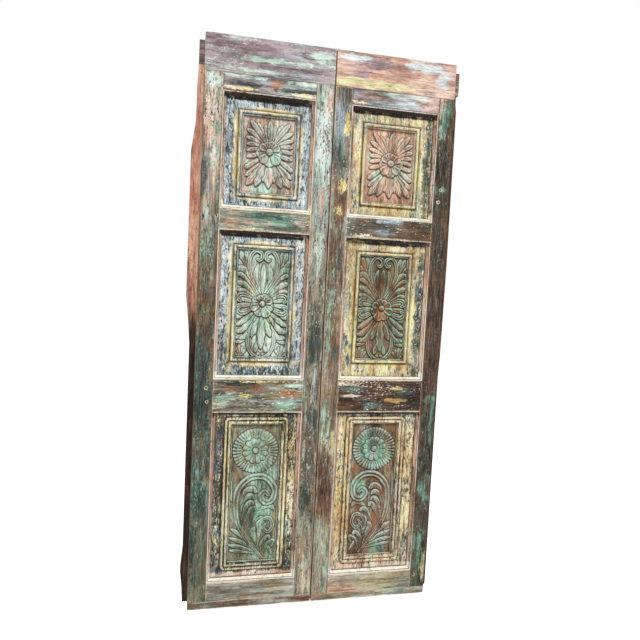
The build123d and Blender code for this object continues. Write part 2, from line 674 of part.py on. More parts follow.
def frame_nodes():
    """The posts, the head, and what is screwed to them."""
    track = lipped_channel(FRAME_FRONT, True)
    head = block(-LEFT_HEAD_END, RIGHT_HEAD_END, FRAME_FRONT, WALL, HEAD_BOTTOM, LEAF_TOP)
    head -= [post_tenon(RIGHT_PLANED_EDGE, MORTISE_SLACK),
             left(post_tenon(LEFT_PLANED_EDGE, MORTISE_SLACK))]
    stops = channel_stops(FRAME_FRONT, True)
    return {
        "frame_head": head,
        "frame_left_post": left(post(LEFT_PLANED_EDGE, LEFT_WANE)),
        "frame_right_post": post(RIGHT_PLANED_EDGE, RIGHT_WANE),
        "left_head_track": left(track),
        "right_head_track": track,
        "left_floor_guide": left(floor_guide()),
        "right_floor_guide": floor_guide(),
        "track_stops": [*stops, *left(stops)],
    }


def all_nodes():
    """Every node by name, with the left hand pieces mirrored."""
    nodes = frame_nodes()
    right_side = {**leaf_nodes("right", RIGHT_OUTER_STILE_WIDTH), **carriage_nodes("right")}
    left_side = {**leaf_nodes("left", LEFT_OUTER_STILE_WIDTH), **carriage_nodes("left")}
    nodes.update(right_side)
    nodes.update({name: left(shape) for name, shape in left_side.items()})
    return nodes


INSERTS = {panel.name: carved_insert(panel) for panel in (UPPER, MIDDLE, LOWER)}

os.makedirs("parts", exist_ok=True)
for node, shape in all_nodes().items():
    whole = Compound(children=shape) if isinstance(shape, list) else shape
    export_step(whole, f"parts/{node}.step")
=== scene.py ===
"""A pair of carved sliding doors in flaking paint, hung in their plain timber frame."""

import logging
import math
from dataclasses import astuple, dataclass, field, replace
from enum import Enum
from functools import partial, partialmethod
from typing import Callable, NamedTuple

import bmesh
import bpy
import numpy as np
from mathutils import Matrix, Vector, noise


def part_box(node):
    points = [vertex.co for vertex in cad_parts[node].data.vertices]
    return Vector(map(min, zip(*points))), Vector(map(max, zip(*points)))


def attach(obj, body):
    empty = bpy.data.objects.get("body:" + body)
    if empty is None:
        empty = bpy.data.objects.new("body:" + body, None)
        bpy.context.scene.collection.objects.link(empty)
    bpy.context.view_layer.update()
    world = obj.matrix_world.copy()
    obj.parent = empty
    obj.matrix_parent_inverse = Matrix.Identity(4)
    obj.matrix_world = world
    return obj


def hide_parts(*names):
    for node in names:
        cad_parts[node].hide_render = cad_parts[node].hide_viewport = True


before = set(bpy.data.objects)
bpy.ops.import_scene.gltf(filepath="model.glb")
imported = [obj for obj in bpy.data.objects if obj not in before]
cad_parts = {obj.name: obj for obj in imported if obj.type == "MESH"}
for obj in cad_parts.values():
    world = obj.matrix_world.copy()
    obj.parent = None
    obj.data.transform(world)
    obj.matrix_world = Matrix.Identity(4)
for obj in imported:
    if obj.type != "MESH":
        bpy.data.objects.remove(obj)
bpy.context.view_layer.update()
MM = 0.001
RICHNESS = 1.13  # how much richer the tints look than they are written
DRY = 0.16  # surface reflection of dry old paint
PATCH_DEPTH = 0.025  # half depth of a placed patch, so that it stays on the front
RELIEF_RISE = 11.0  # greatest height of a carving, in millimetres
FIELD_THICK = 0.016  # from the face of a field to the back of its panel
FIELD_BACK = 0.0055  # from the back of a field's frame to the back of its panel
FIELD_LAP = 0.004  # how far a field runs under its moulding
LOFT_STEP = 0.007  # distance between points along beads and mouldings
POST_SEED = 3.0  # sets the grain of the frame

Triple = tuple[float, float, float]  # a point or a direction

log = logging.getLogger("doors")


class Tint(Enum):
    """The paints, woods and metals of the doors, as they look in daylight; the near black also serves as
    painted shade and the white as a painted highlight.
    """

    MAUVE = (152, 134, 138)
    DEEP_MAUVE = (118, 100, 104)
    GREY_MINT = (172, 184, 177)
    PALE_MINT = (198, 216, 205)
    MINT = (166, 204, 184)
    SEA_GREEN = (118, 162, 142)
    TEAL = (74, 106, 100)
    DEEP_TEAL = (44, 62, 58)
    SLATE = (90, 92, 86)
    BLUE_GREY = (140, 158, 168)
    STORM = (84, 98, 108)
    ICE = (204, 214, 216)
    PEACH = (212, 188, 172)
    SALMON = (192, 154, 134)
    SAND = (190, 176, 152)
    OLIVE = (134, 124, 98)
    MOSS = (104, 104, 84)
    BROWN = (116, 90, 70)
    RUST = (150, 96, 64)
    # White for a painted highlight where the mouldings face up at their feet.
    CHALK = (248, 243, 226)
    CHESTNUT = (92, 62, 44)
    DARK_WOOD = (60, 45, 34)
    # Near black for sooty grime and dark wood, also laid as painted shade in creases, hollows and under the
    # top mouldings.
    SOOT = (30, 24, 20)
    CREAM = (234, 220, 182)
    STRAW = (216, 198, 134)
    CITRON = (206, 202, 158)
    BONE = (230, 220, 206)
    ROSE_BONE = (226, 204, 190)
    ZINC = (168, 172, 176)
    NYLON = (226, 222, 210)
    RUBBER = (34, 34, 36)
    TERRACOTTA = (214, 166, 144)
    FLOOR = (244, 243, 241)

    @property
    def rgba(self) -> tuple[float, float, float, float]:
        """The tint, made a little richer, as scene-linear colour with full alpha."""
        red, green, blue = self.value
        grey = 0.3 * red + 0.59 * green + 0.11 * blue
        parts = [min(max((grey + RICHNESS * (c - grey)) / 255, 0.0), 1.0) for c in self.value]
        linear = [c / 12.92 if c <= 0.04045 else ((c + 0.055) / 1.055) ** 2.4 for c in parts]
        return (linear[0], linear[1], linear[2], 1.0)


class Grain(Enum):
    """Which way the grain of a board runs."""

    LEVEL = 0
    UPRIGHT = 2


class Side(Enum):
    """The two leaves, with the sign of the side on which each lies."""

    LEFT = -1
    RIGHT = 1

    @property
    def word(self) -> str:
        """The side as it stands in names."""
        return self.name.lower()


class Section(Enum):
    """Cross sections of a carved stroke."""

    LEAF = 0
    BAND = 1
    PETAL = 2


class Kind(Enum):
    """How a coat breaks up.

    Each value holds its cell across the grain in metres, its stretch along the grain and
    the softness of its edge.
    """

    FLECK = (0.005, 2.0, 0.045)
    CHIP = (0.011, 2.4, 0.05)
    STREAK = (0.014, 9.0, 0.17)
    WASH = (0.034, 2.6, 0.24)


# Node helpers


class Graph:
    """Adds and links nodes in one node tree."""

    def __init__(self, tree: bpy.types.NodeTree) -> None:
        """Keeps the tree.

        Args:
            tree: The node tree of a material, world or group.
        """
        self.tree = tree

    def add(self, kind: str, **settings: object) -> bpy.types.Node:
        """Adds a node.

        Args:
            kind: The type of the node without its Shader prefix.
            settings: Properties to set on the node.

        Returns:
            The new node.
        """
        node = self.tree.nodes.new(kind if kind.startswith("NodeGroup") else f"ShaderNode{kind}")
        for name, value in settings.items():
            setattr(node, name, value)
        return node

    def put(self, value: object, socket: bpy.types.NodeSocket) -> None:
        """Links a socket, or writes a plain value, into an input.

        Args:
            value: An output socket, or a number, colour or vector.
            socket: The input that takes it.
        """
        if isinstance(value, bpy.types.NodeSocket):
            self.tree.links.new(value, socket)
        else:
            socket.default_value = value

    def math(
        self, operation: str, a: object, b: object = 0.0, clamp: bool = False
    ) -> bpy.types.NodeSocket:
        """Adds a Math node and returns its output.

        Args:
            operation: The operation's name.
            a: First value or socket.
            b: Second value or socket.
            clamp: Whether the result is held between 0 and 1.

        Returns:
            The result's socket.
        """
        node = self.add("Math", operation=operation, use_clamp=clamp)
        self.put(a, node.inputs[0])
        self.put(b, node.inputs[1])
        return node.outputs[0]

    def vector(self, operation: str, a: object, b: object) -> bpy.types.NodeSocket:
        """Adds a Vector Math node and returns its vector.

        Args:
            operation: The operation's name.
            a: First vector or socket.
            b: Second vector or socket.

        Returns:
            The result's socket.
        """
        node = self.add("VectorMath", operation=operation)
        self.put(a, node.inputs[0])
        self.put(b, node.inputs[1])
        return node.outputs[1] if operation == "LENGTH" else node.outputs[0]

    plus = partialmethod(math, "ADD")
    minus = partialmethod(math, "SUBTRACT")
    times = partialmethod(math, "MULTIPLY")
    larger = partialmethod(math, "MAXIMUM")
    smaller = partialmethod(math, "MINIMUM")
    moved = partialmethod(vector, "ADD")
    apart = partialmethod(vector, "SUBTRACT")
    scaled = partialmethod(vector, "MULTIPLY")

    def join(self, x: object, y: object, z: object) -> bpy.types.NodeSocket:
        """Builds a vector from three values.

        Args:
            x: First value or socket.
            y: Second value or socket.
            z: Third value or socket.

        Returns:
            The vector's socket.
        """
        node = self.add("CombineXYZ")
        for value, socket in zip((x, y, z), node.inputs):
            self.put(value, socket)
        return node.outputs[0]

    def split(self, vector: object) -> list[bpy.types.NodeSocket]:
        """Takes a vector apart.

        Args:
            vector: The vector's socket.

        Returns:
            Its three outputs.
        """
        node = self.add("SeparateXYZ")
        self.put(vector, node.inputs[0])
        return list(node.outputs)

    def mix(self, factor: object, a: object, b: object, blend: str = "MIX") -> bpy.types.NodeSocket:
        """Mixes two colours.

        Args:
            factor: Share of the second colour.
            a: First colour or socket.
            b: Second colour or socket.
            blend: The way they blend.

        Returns:
            The colour's socket.
        """
        node = self.add("Mix", data_type="RGBA", blend_type=blend, clamp_factor=True)
        self.put(factor, node.inputs[0])
        self.put(a, node.inputs[6])
        self.put(b, node.inputs[7])
        return node.outputs[2]

    def ease(
        self, value: object, low: object, high: object, to: tuple[float, float] = (0.0, 1.0)
    ) -> bpy.types.NodeSocket:
        """Maps a value smoothly from one range to another.

        Args:
            value: The value's socket.
            low: Where the ramp starts.
            high: Where the ramp ends.
            to: Results at both ends.

        Returns:
            The result's socket.
        """
        node = self.add("MapRange", interpolation_type="SMOOTHSTEP")
        for item, socket in zip((value, low, high, *to), node.inputs):
            self.put(item, socket)
        return node.outputs[0]

    def noise(
        self, vector: object, scale: float, detail: float, rough: float = 0.55, warp: float = 0.0
    ) -> bpy.types.NodeSocket:
        """Adds a noise texture.

        Args:
            vector: Where it is read.
            scale: Its scale.
            detail: Its octaves.
            rough: Weight of the finer octaves.
            warp: Its distortion.

        Returns:
            The value's socket.
        """
        node = self.add("TexNoise")
        values = (("Vector", vector), ("Scale", scale), ("Detail", detail))
        for name, value in (*values, ("Roughness", rough), ("Distortion", warp)):
            self.put(value, node.inputs[name])
        return node.outputs[0]

    def noises(
        self, vector: object, detail: float, rough: float = 0.55, warp: float = 0.0
    ) -> bpy.types.NodeSocket:
        """Adds a noise texture and returns its three independent channels as a colour."""
        return self.noise(vector, 1.0, detail, rough, warp).node.outputs["Color"]

    def group(self, tree: bpy.types.NodeTree, **inputs: object) -> bpy.types.Node:
        """Places a node group.

        Args:
            tree: The group.
            inputs: Values or sockets for its inputs, by name.

        Returns:
            The group's node.
        """
        node = self.add("Group", node_tree=tree)
        for name, value in inputs.items():
            self.put(value, node.inputs[name])
        return node

    def seen(self) -> bpy.types.NodeSocket:
        """Whether a ray looks at the surface: straight, in a mirror or through glass."""
        path = self.add("LightPath").outputs
        other = self.larger(path["Is Glossy Ray"], path["Is Transmission Ray"])
        return self.larger(path["Is Camera Ray"], other)

    def bump(self, shader: bpy.types.Node, height: object, strength: float, step: float) -> None:
        """Makes the surface of a shader uneven.

        Args:
            shader: The shader.
            height: The height's socket.
            strength: How strongly it shows.
            step: Height of a full step, in metres.
        """
        node = self.add("Bump")
        node.inputs["Strength"].default_value = strength
        node.inputs["Distance"].default_value = step
        self.put(height, node.inputs["Height"])
        self.put(node.outputs[0], shader.inputs["Normal"])


def new_group(
    name: str, inputs: dict[str, str], outputs: list[str]
) -> tuple[Graph, bpy.types.Node, bpy.types.Node]:
    """Starts a shader node group.

    Args:
        name: Its name.
        inputs: Socket kinds by input name.
        outputs: Names of its value outputs.

    Returns:
        The graph, its input node and its output node.
    """
    tree = bpy.data.node_groups.new(name, "ShaderNodeTree")
    for label, kind in inputs.items():
        tree.interface.new_socket(name=label, in_out="INPUT", socket_type=f"NodeSocket{kind}")
    for label in outputs:
        tree.interface.new_socket(name=label, in_out="OUTPUT", socket_type="NodeSocketFloat")
    graph = Graph(tree)
    return graph, graph.add("NodeGroupInput"), graph.add("NodeGroupOutput")


SEEDED = {"Vector": "Vector", "Seed": "Float"}


def reseeded(g: Graph, source: bpy.types.Node) -> bpy.types.NodeSocket:
    """A group's vector moved by its seed, so that no two pieces look the same."""
    vector, seed = source.outputs["Vector"], source.outputs["Seed"]
    return g.moved(vector, g.join(seed, 0.0, seed))


class Effects:
    """The effects that several finishes share, each built once as a node group."""

    def __init__(self) -> None:
        """Builds the groups."""
        self.grain = self._grain()
        self.patterns = self._patterns()
        self.patch = self._patch()
        self.arris = self._arris()
        self.stain = self._stain()
        self.tone = self._tone()

    def _grain(self) -> bpy.types.NodeTree:
        """Fibres, figure and drying checks of timber, along the vector's first axis.

        Returns:
            The group.
        """
        g, source, sink = new_group("timber_grain", SEEDED, ["Fibre", "Figure", "Check"])
        shift = reseeded(g, source)
        fibre = g.noise(g.scaled(shift, (14.0, 520.0, 520.0)), 1.0, 3.0, 0.6)
        figure = g.noise(g.scaled(shift, (2.4, 62.0, 40.0)), 1.0, 4.0, 0.62, 0.5)
        crack = g.noise(g.scaled(shift, (3.2, 110.0, 60.0)), 1.0, 2.0, 0.5, 0.2)
        line = g.math("ABSOLUTE", g.minus(crack, 0.5))
        g.put(fibre, sink.inputs["Fibre"])
        g.put(g.ease(figure, 0.3, 0.7), sink.inputs["Figure"])
        opened = g.ease(figure, 0.46, 0.62)
        g.put(g.times(g.ease(line, 0.0, 0.014, (1.0, 0.0)), opened), sink.inputs["Check"])
        return g.tree

    def _patterns(self) -> bpy.types.NodeTree:
        """Three patterns for each kind of coat, broken up by common specks, fibres and clusters.

        Returns:
            The group.
        """
        names = [f"{kind.name} {axis}" for kind in Kind for axis in "XYZ"]
        g, source, sink = new_group("coat_patterns", SEEDED, names)
        lie, seed = source.outputs["Vector"], source.outputs["Seed"]
        offset = g.join(seed, g.times(seed, 1.7), g.times(seed, 0.6))
        common: object = (0.0, 0.0, 0.0)
        breaks = (
            ((110.0, 230.0, 230.0), 2.0, 0.3),
            ((14.0, 300.0, 300.0), 2.0, 0.34),
            ((4.0, 10.0, 10.0), 3.0, 0.5),
        )
        for scale, detail, weight in breaks:
            part = g.noises(g.moved(g.scaled(lie, scale), offset), detail, 0.6)
            part = g.scaled(g.apart(part, (0.5, 0.5, 0.5)), (weight, weight, weight))
            common = g.moved(common, part)
        for kind in Kind:
            cell, stretch, _ = kind.value
            place = g.moved(g.scaled(lie, (1 / (cell * stretch), 1 / cell, 1 / cell)), offset)
            broken = g.moved(g.noises(place, 6.0, 0.66, 0.5), common)
            for axis, value in zip("XYZ", g.split(broken)):
                g.put(value, sink.inputs[f"{kind.name} {axis}"])
        return g.tree

    def _patch(self) -> bpy.types.NodeTree:
        """A soft, ragged patch round a place on the front of the doors.

        Returns:
            The group.
        """
        kinds = {"Vector": "Vector", "Centre": "Vector", "Half": "Vector", "Ragged": "Float"}
        g, source, sink = new_group("placed_patch", kinds, ["Mask"])
        s = source.outputs
        away = g.vector("DIVIDE", g.apart(s["Vector"], s["Centre"]), s["Half"])
        reach = g.plus(g.vector("LENGTH", away, (0.0, 0.0, 0.0)), s["Ragged"])
        g.put(g.ease(reach, 0.2, 1.5, (1.0, 0.0)), sink.inputs["Mask"])
        return g.tree

    def _arris(self) -> bpy.types.NodeTree:
        """Wear along the arrises of a board between two corners.

        Returns:
            The group.
        """
        kinds = {"Vector": "Vector", "Low": "Vector", "High": "Vector", "Width": "Float"}
        g, source, sink = new_group("arris_wear", kinds, ["Mask"])
        s = source.outputs
        inside = g.apart(s["Vector"], s["Low"]), g.apart(s["High"], s["Vector"])
        near = g.split(g.vector("MINIMUM", *inside))
        least = g.smaller(near[0], near[1])
        second = g.larger(least, g.smaller(g.larger(near[0], near[1]), near[2]))
        ragged = g.noise(s["Vector"], 120.0, 3.0, 0.6)
        width = g.times(s["Width"], g.times(g.minus(ragged, 0.22), 3.4))
        g.put(g.ease(g.minus(second, width), 0.0, 0.0016, (1.0, 0.0)), sink.inputs["Mask"])
        return g.tree

    def _stain(self) -> bpy.types.NodeTree:
        """Dust and tarnish in loose clouds with fine specks.

        Returns:
            The group.
        """
        kinds = {"Vector": "Vector", "Size": "Float"}
        g, source, sink = new_group("tarnish", kinds, ["Cloud", "Speck"])
        scale = g.math("DIVIDE", 1.0, source.outputs["Size"])
        place = g.scaled(source.outputs["Vector"], g.join(scale, scale, scale))
        g.put(g.ease(g.noise(place, 1.0, 4.0, 0.6, 0.4), 0.35, 0.68), sink.inputs["Cloud"])
        g.put(g.ease(g.noise(place, 14.0, 2.0, 0.5), 0.6, 0.7), sink.inputs["Speck"])
        return g.tree

    def _tone(self) -> bpy.types.NodeTree:
        """Uneven ageing of a surface from hand sized clouds down to specks, grey in the middle.

        Returns:
            The group.
        """
        g, source, sink = new_group("uneven_tone", SEEDED, ["Grey"])
        place = reseeded(g, source)
        value: object = 0.5
        clouds = (
            ((5.0, 16.0, 16.0), 4.0, 1.2),
            ((20.0, 90.0, 90.0), 3.0, 0.8),
            ((70.0, 300.0, 300.0), 2.0, 0.45),
        )
        for scale, detail, weight in clouds:
            part = g.noise(g.scaled(place, scale), 1.0, detail, 0.62)
            value = g.plus(value, g.times(g.minus(part, 0.5), weight))
        g.put(g.ease(value, 0.22, 0.78), sink.inputs["Grey"])
        return g.tree


EFFECTS = Effects()


# Finishes


class Place(NamedTuple):
    """A spot on the front of the doors, in millimetres, with its half width and half height."""

    x: float
    z: float
    wide: float
    high: float


@dataclass(frozen=True)
class Coat:
    """One layer of old paint, or of wood laid bare.

    Attributes:
        tint: Its colour.
        cover: Share of the surface that it still covers.
        kind: How it breaks up.
        places: Where it lies; all over where there is none.
    """

    tint: Tint
    cover: float
    kind: Kind
    places: tuple[Place, ...] = ()


def coat_maker(kind: Kind) -> Callable[..., Coat]:
    """A function that lays coats of one kind, from a tint, its cover and its places."""
    return lambda tint, cover, *places: Coat(tint, cover, kind, tuple(Place(*spot) for spot in places))


flecks, chips, streaks, washes = (coat_maker(kind) for kind in Kind)


def start_material(name: str, rough: float, gloss: float = 0.5) -> tuple[Graph, bpy.types.Node]:
    """Makes a material with a Principled shader.

    Args:
        name: The material's name.
        rough: Its plain roughness.
        gloss: Strength of its surface reflection, low for dry old paint.

    Returns:
        The material's graph and its shader.
    """
    material = bpy.data.materials.new(name)
    material.use_nodes = True
    graph = Graph(material.node_tree)
    shader = next(n for n in material.node_tree.nodes if n.type == "BSDF_PRINCIPLED")
    shader.inputs["Roughness"].default_value = rough
    shader.inputs["Specular IOR Level"].default_value = gloss
    return graph, shader


def worn(g: Graph, pattern: object, cover: object, soft: float) -> bpy.types.NodeSocket:
    """Finds where a worn coat still holds, from its pattern, cover and softness."""
    level = g.minus(0.69, g.times(cover, 0.38))
    return g.ease(g.minus(pattern, level), -soft, soft)


def lay_coats(
    g: Graph, spot: object, patterns: object, colour: object, coats: tuple[Coat, ...], front: float
) -> tuple[object, object]:
    """Lays coats of paint over a colour.

    Args:
        g: The material's graph.
        spot: Object coordinates.
        patterns: Outputs of the coat patterns.
        colour: The colour underneath.
        coats: The coats, lowest first.
        front: Depth of the face that bears the placed coats.

    Returns:
        The colour and the paint's thickness, as sockets.
    """
    thick: object = 0.0
    used = dict.fromkeys(Kind, 0)
    ragged = g.times(g.minus(g.noise(spot, 30.0, 5.0, 0.65), 0.5), 2.0)
    for coat in coats:
        turn = used[coat.kind]
        used[coat.kind] += 1
        pattern = patterns[f"{coat.kind.name} {'XYZ'[turn % 3]}"]
        if turn // 3 % 2:
            pattern = g.minus(1.0, pattern)
        cover: object = coat.cover
        if coat.places:
            total: object = 0.0
            for place in coat.places:
                centre = (place.x * MM, front, place.z * MM)
                half = (place.wide * MM, PATCH_DEPTH, place.high * MM)
                patch = g.group(EFFECTS.patch, Vector=spot, Centre=centre, Half=half, Ragged=ragged)
                total = g.larger(total, patch.outputs["Mask"])
            cover = g.ease(total, 0.0, 1.0, (-0.35, coat.cover))
        mask = worn(g, pattern, cover, coat.kind.value[2])
        colour = g.mix(mask, colour, coat.tint.rgba)
        thick = g.larger(g.times(thick, 0.8), mask)
    return colour, thick


@dataclass(frozen=True)
class AgedPaint:
    """Layers of flaking paint on a board.

    Attributes:
        zones: Tints along the grain, from the low end to the high end.
        coats: Further coats, lowest first.
        grain: Way of the grain.
        worn: Tint of its worn arrises.
        wear: Width of that wear, in metres.
        shine: Roughness of the paint.
        streak: How strongly the grain darkens the paint.
        contrast: How uneven its tone is.
        dust: How much pale dust lies in the fibres.
    """

    zones: tuple[tuple[float, Tint], ...]
    coats: tuple[Coat, ...] = ()
    grain: Grain = Grain.UPRIGHT
    worn: Tint = Tint.SALMON
    wear: float = 0.002
    shine: float = 0.62
    streak: float = 0.5
    contrast: float = 0.64
    dust: float = 0.2

    def material(self, name: str, low: Vector, high: Vector, seed: float) -> bpy.types.Material:
        """Builds the finish for a board between two corners.

        Args:
            name: The material's name.
            low: The board's lowest corner.
            high: The board's highest corner.
            seed: Number that sets this board's pattern.

        Returns:
            The material.
        """
        g, shader = start_material(name, self.shine, DRY)
        spot = g.add("TexCoord").outputs["Object"]
        x, y, z = g.split(spot)
        lie = g.join(x, z, y) if self.grain is Grain.LEVEL else g.join(z, x, y)
        timber = g.group(EFFECTS.grain, Vector=lie, Seed=seed).outputs
        along = self.grain.value
        cloud = g.noise(g.scaled(lie, (3.0, 40.0, 8.0)), 1.0, 3.0, 0.6)
        drift = g.times(g.minus(cloud, 0.5), 0.5)
        reach = g.ease((x, y, z)[along], low[along], high[along])
        reach.node.interpolation_type = "LINEAR"
        ramp = g.add("ValToRGB")
        g.put(g.plus(reach, drift), ramp.inputs[0])
        bands = ramp.color_ramp.elements
        while len(bands) < len(self.zones):
            bands.new(0.5)
        for element, (share, tint) in zip(bands, self.zones):
            element.position = share
            element.color = tint.rgba
        patterns = g.group(EFFECTS.patterns, Vector=lie, Seed=seed).outputs
        colour, thick = lay_coats(g, spot, patterns, ramp.outputs[0], self.coats, low.y)
        shade = g.times(g.minus(timber["Figure"], 0.4), self.streak, clamp=True)
        colour = g.mix(shade, colour, g.mix(0.62, colour, Tint.DARK_WOOD.rgba))
        grey = g.group(EFFECTS.tone, Vector=lie, Seed=seed).outputs["Grey"]
        colour = g.mix(self.contrast, colour, grey, "OVERLAY")
        fibres = g.ease(timber["Fibre"], 0.5, 0.72)
        colour = g.mix(g.times(fibres, self.dust), colour, Tint.BONE.rgba)
        pores = g.times(g.ease(timber["Fibre"], 0.46, 0.3), 0.9 * self.streak)
        colour = g.mix(pores, colour, Tint.DARK_WOOD.rgba)
        corners = {"Low": tuple(low), "High": tuple(high)}
        wear = g.group(EFFECTS.arris, Vector=spot, **corners, Width=self.wear).outputs["Mask"]
        broken = g.ease(patterns["STREAK Y"], 0.3, 0.6)
        colour = g.mix(g.times(wear, g.times(broken, 0.85)), colour, self.worn.rgba)
        colour = g.mix(g.times(timber["Check"], 0.85), colour, Tint.SOOT.rgba)
        # Painted shade with grime in the creases of beads and mouldings above 0, worn paint on their crests
        # below 0.
        mark = g.add("Attribute", attribute_name="dirt").outputs["Fac"]
        chipped = g.ease(patterns["CHIP Y"], 0.4, 0.58)
        crest = g.times(g.minus(0.0, mark), chipped, clamp=True)
        colour = g.mix(g.times(crest, 0.7), colour, self.worn.rgba)
        dirt = g.times(mark, g.ease(patterns["FLECK Y"], 0.1, 0.5), clamp=True)
        colour = g.mix(g.times(dirt, 0.9), colour, Tint.SOOT.rgba)
        g.put(colour, shader.inputs["Base Color"])
        shines = self.shine + 0.1, self.shine - 0.06
        g.put(g.ease(thick, 0.0, 1.0, shines), shader.inputs["Roughness"])
        flake = g.ease(patterns["FLECK X"], 0.42, 0.6)
        height = g.plus(g.times(timber["Fibre"], 0.7), g.times(flake, 0.5))
        height = g.minus(height, g.times(timber["Check"], 1.2))
        g.bump(shader, height, 0.6, 0.0012)
        return bpy.data.materials[name]


@dataclass(frozen=True)
class CarvedPaint:
    """Paint brushed over a carving, rubbed off its crests and thin in its hollows, with a painted highlight
    on crests and upward slopes and painted shade in hollows and under raised forms.

    Attributes:
        ground: Wood or stain that lies bare.
        paint: Main paint.
        light: Paler paint, laid as a painted highlight on crests and upward slopes.
        cover: Share that the main paint covers.
        coats: Further coats, lowest first.
    """

    ground: Tint = Tint.BROWN
    paint: Tint = Tint.MINT
    light: Tint = Tint.PALE_MINT
    cover: float = 0.6
    coats: tuple[Coat, ...] = ()

    def material(self, name: str, front: float, seed: float) -> bpy.types.Material:
        """Builds the finish for a carving with crest and hollow attributes.

        Args:
            name: The material's name.
            front: Depth of its face.
            seed: Number that sets this carving's pattern.

        Returns:
            The material.
        """
        g, shader = start_material(name, 0.6, DRY)
        spot = g.add("TexCoord").outputs["Object"]
        x, y, z = g.split(spot)
        lie = g.join(z, x, y)
        crest, hollow, rise = (
            g.add("Attribute", attribute_name=name).outputs["Fac"]
            for name in ("crest", "hollow", "rise")
        )
        timber = g.group(EFFECTS.grain, Vector=lie, Seed=seed).outputs
        ground = g.mix(g.times(timber["Figure"], 0.5), self.ground.rgba, Tint.CHESTNUT.rgba)
        gain = g.plus(g.times(crest, 0.5), g.times(rise, 0.2))
        cover = g.minus(g.plus(self.cover - 0.2, gain), g.times(hollow, 0.75))
        patterns = g.group(EFFECTS.patterns, Vector=lie, Seed=seed).outputs
        main = worn(g, patterns["WASH Z"], cover, 0.12)
        colour = g.mix(g.times(main, 0.9), ground, self.paint.rgba)
        colour, thick = lay_coats(g, spot, patterns, colour, self.coats, front)
        grey = g.group(EFFECTS.tone, Vector=lie, Seed=seed).outputs["Grey"]
        colour = g.mix(0.7, colour, grey, "OVERLAY")
        # Painted highlight: the pale tint on crests and on slopes that face up.
        painted_highlight = worn(g, patterns["WASH Y"], g.plus(0.0, g.times(crest, 0.85)), 0.2)
        colour = g.mix(g.times(painted_highlight, 0.75), colour, self.light.rgba)
        rub = worn(g, patterns["STREAK Z"], g.plus(-0.2, g.times(crest, 0.6)), 0.12)
        colour = g.mix(g.times(rub, 0.8), colour, ground)
        # Painted shade: near black, flecked with the ground, in hollows and under raised forms.
        shade_tint = g.mix(g.ease(patterns["FLECK Z"], 0.35, 0.6), Tint.SOOT.rgba, self.ground.rgba)
        shade_tint = g.mix(0.72, shade_tint, Tint.SOOT.rgba)
        colour = g.mix(g.times(hollow, 0.9, clamp=True), colour, shade_tint)
        pores = g.times(g.ease(timber["Fibre"], 0.46, 0.32), 0.3)
        colour = g.mix(pores, colour, Tint.DARK_WOOD.rgba)
        g.put(colour, shader.inputs["Base Color"])
        shine = g.minus(0.7, g.times(thick, 0.06))
        g.put(g.minus(shine, g.times(crest, 0.2)), shader.inputs["Roughness"])
        flake = g.times(patterns["FLECK X"], 0.9)
        height = g.plus(g.times(timber["Fibre"], 0.5), flake)
        g.bump(shader, height, 0.55, 0.0009)
        return bpy.data.materials[name]


@dataclass(frozen=True)
class Metal:
    """Galvanised or plain steel with dust on it.

    Attributes:
        tint: Its clean colour.
        dull: Its tarnished colour.
        metallic: How metallic it is.
        rough: Roughness where clean and where tarnished.
        size: Size of the tarnish clouds, in metres.
    """

    tint: Tint
    dull: Tint
    metallic: float
    rough: tuple[float, float]
    size: float

    def material(self, name: str) -> bpy.types.Material:
        """Builds the finish.

        Args:
            name: The material's name.

        Returns:
            The material.
        """
        g, shader = start_material(name, self.rough[0])
        spot = g.add("TexCoord").outputs["Object"]
        shader.inputs["Metallic"].default_value = self.metallic
        stain = g.group(EFFECTS.stain, Vector=spot, Size=self.size).outputs
        colour = g.mix(g.times(stain["Cloud"], 0.6), self.tint.rgba, self.dull.rgba)
        colour = g.mix(g.times(stain["Speck"], 0.5), colour, Tint.SLATE.rgba)
        g.put(colour, shader.inputs["Base Color"])
        g.put(g.ease(stain["Cloud"], 0.0, 1.0, self.rough), shader.inputs["Roughness"])
        g.bump(shader, g.plus(stain["Cloud"], stain["Speck"]), 0.25, 0.0004)
        return bpy.data.materials[name]


# Mesh helpers


def finish_piece(
    name: str, bm: bmesh.types.BMesh, material: bpy.types.Material, body: str, slot: str, *nodes: str
) -> None:
    """Turns a bmesh into a piece that rides on a body in place of some of its nodes.

    Args:
        name: The piece's name.
        bm: Its mesh, freed afterwards.
        material: Its finish.
        body: The body that it moves with.
        slot: A material slot name; not used.
        nodes: The nodes that it stands for.
    """
    mesh = bpy.data.meshes.new(name)
    bm.to_mesh(mesh)
    bm.free()
    piece = bpy.data.objects.new(name, mesh)
    bpy.context.scene.collection.objects.link(piece)
    mesh.materials.append(material)
    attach(piece, body)
    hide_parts(*nodes)
    log.info("%s: %d faces on %s", name, len(mesh.polygons), body)


def dress_node(node: str, material: bpy.types.Material) -> None:
    """Gives one of the frame's own nodes a finish.

    Args:
        node: Its name.
        material: The finish.
    """
    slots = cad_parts[node].data.materials
    slots.clear()
    slots.append(material)


def add_block(bm: bmesh.types.BMesh, low: Vector, high: Vector) -> list[bmesh.types.BMVert]:
    """Adds a plain block.

    Args:
        bm: The mesh that gets it.
        low: Its lowest corner.
        high: Its highest corner.

    Returns:
        Its vertices.
    """
    size = high - low
    place = Matrix.Translation((low + high) / 2) @ Matrix.Diagonal((*size, 1.0))
    return bmesh.ops.create_cube(bm, size=1.0, matrix=place)["verts"]


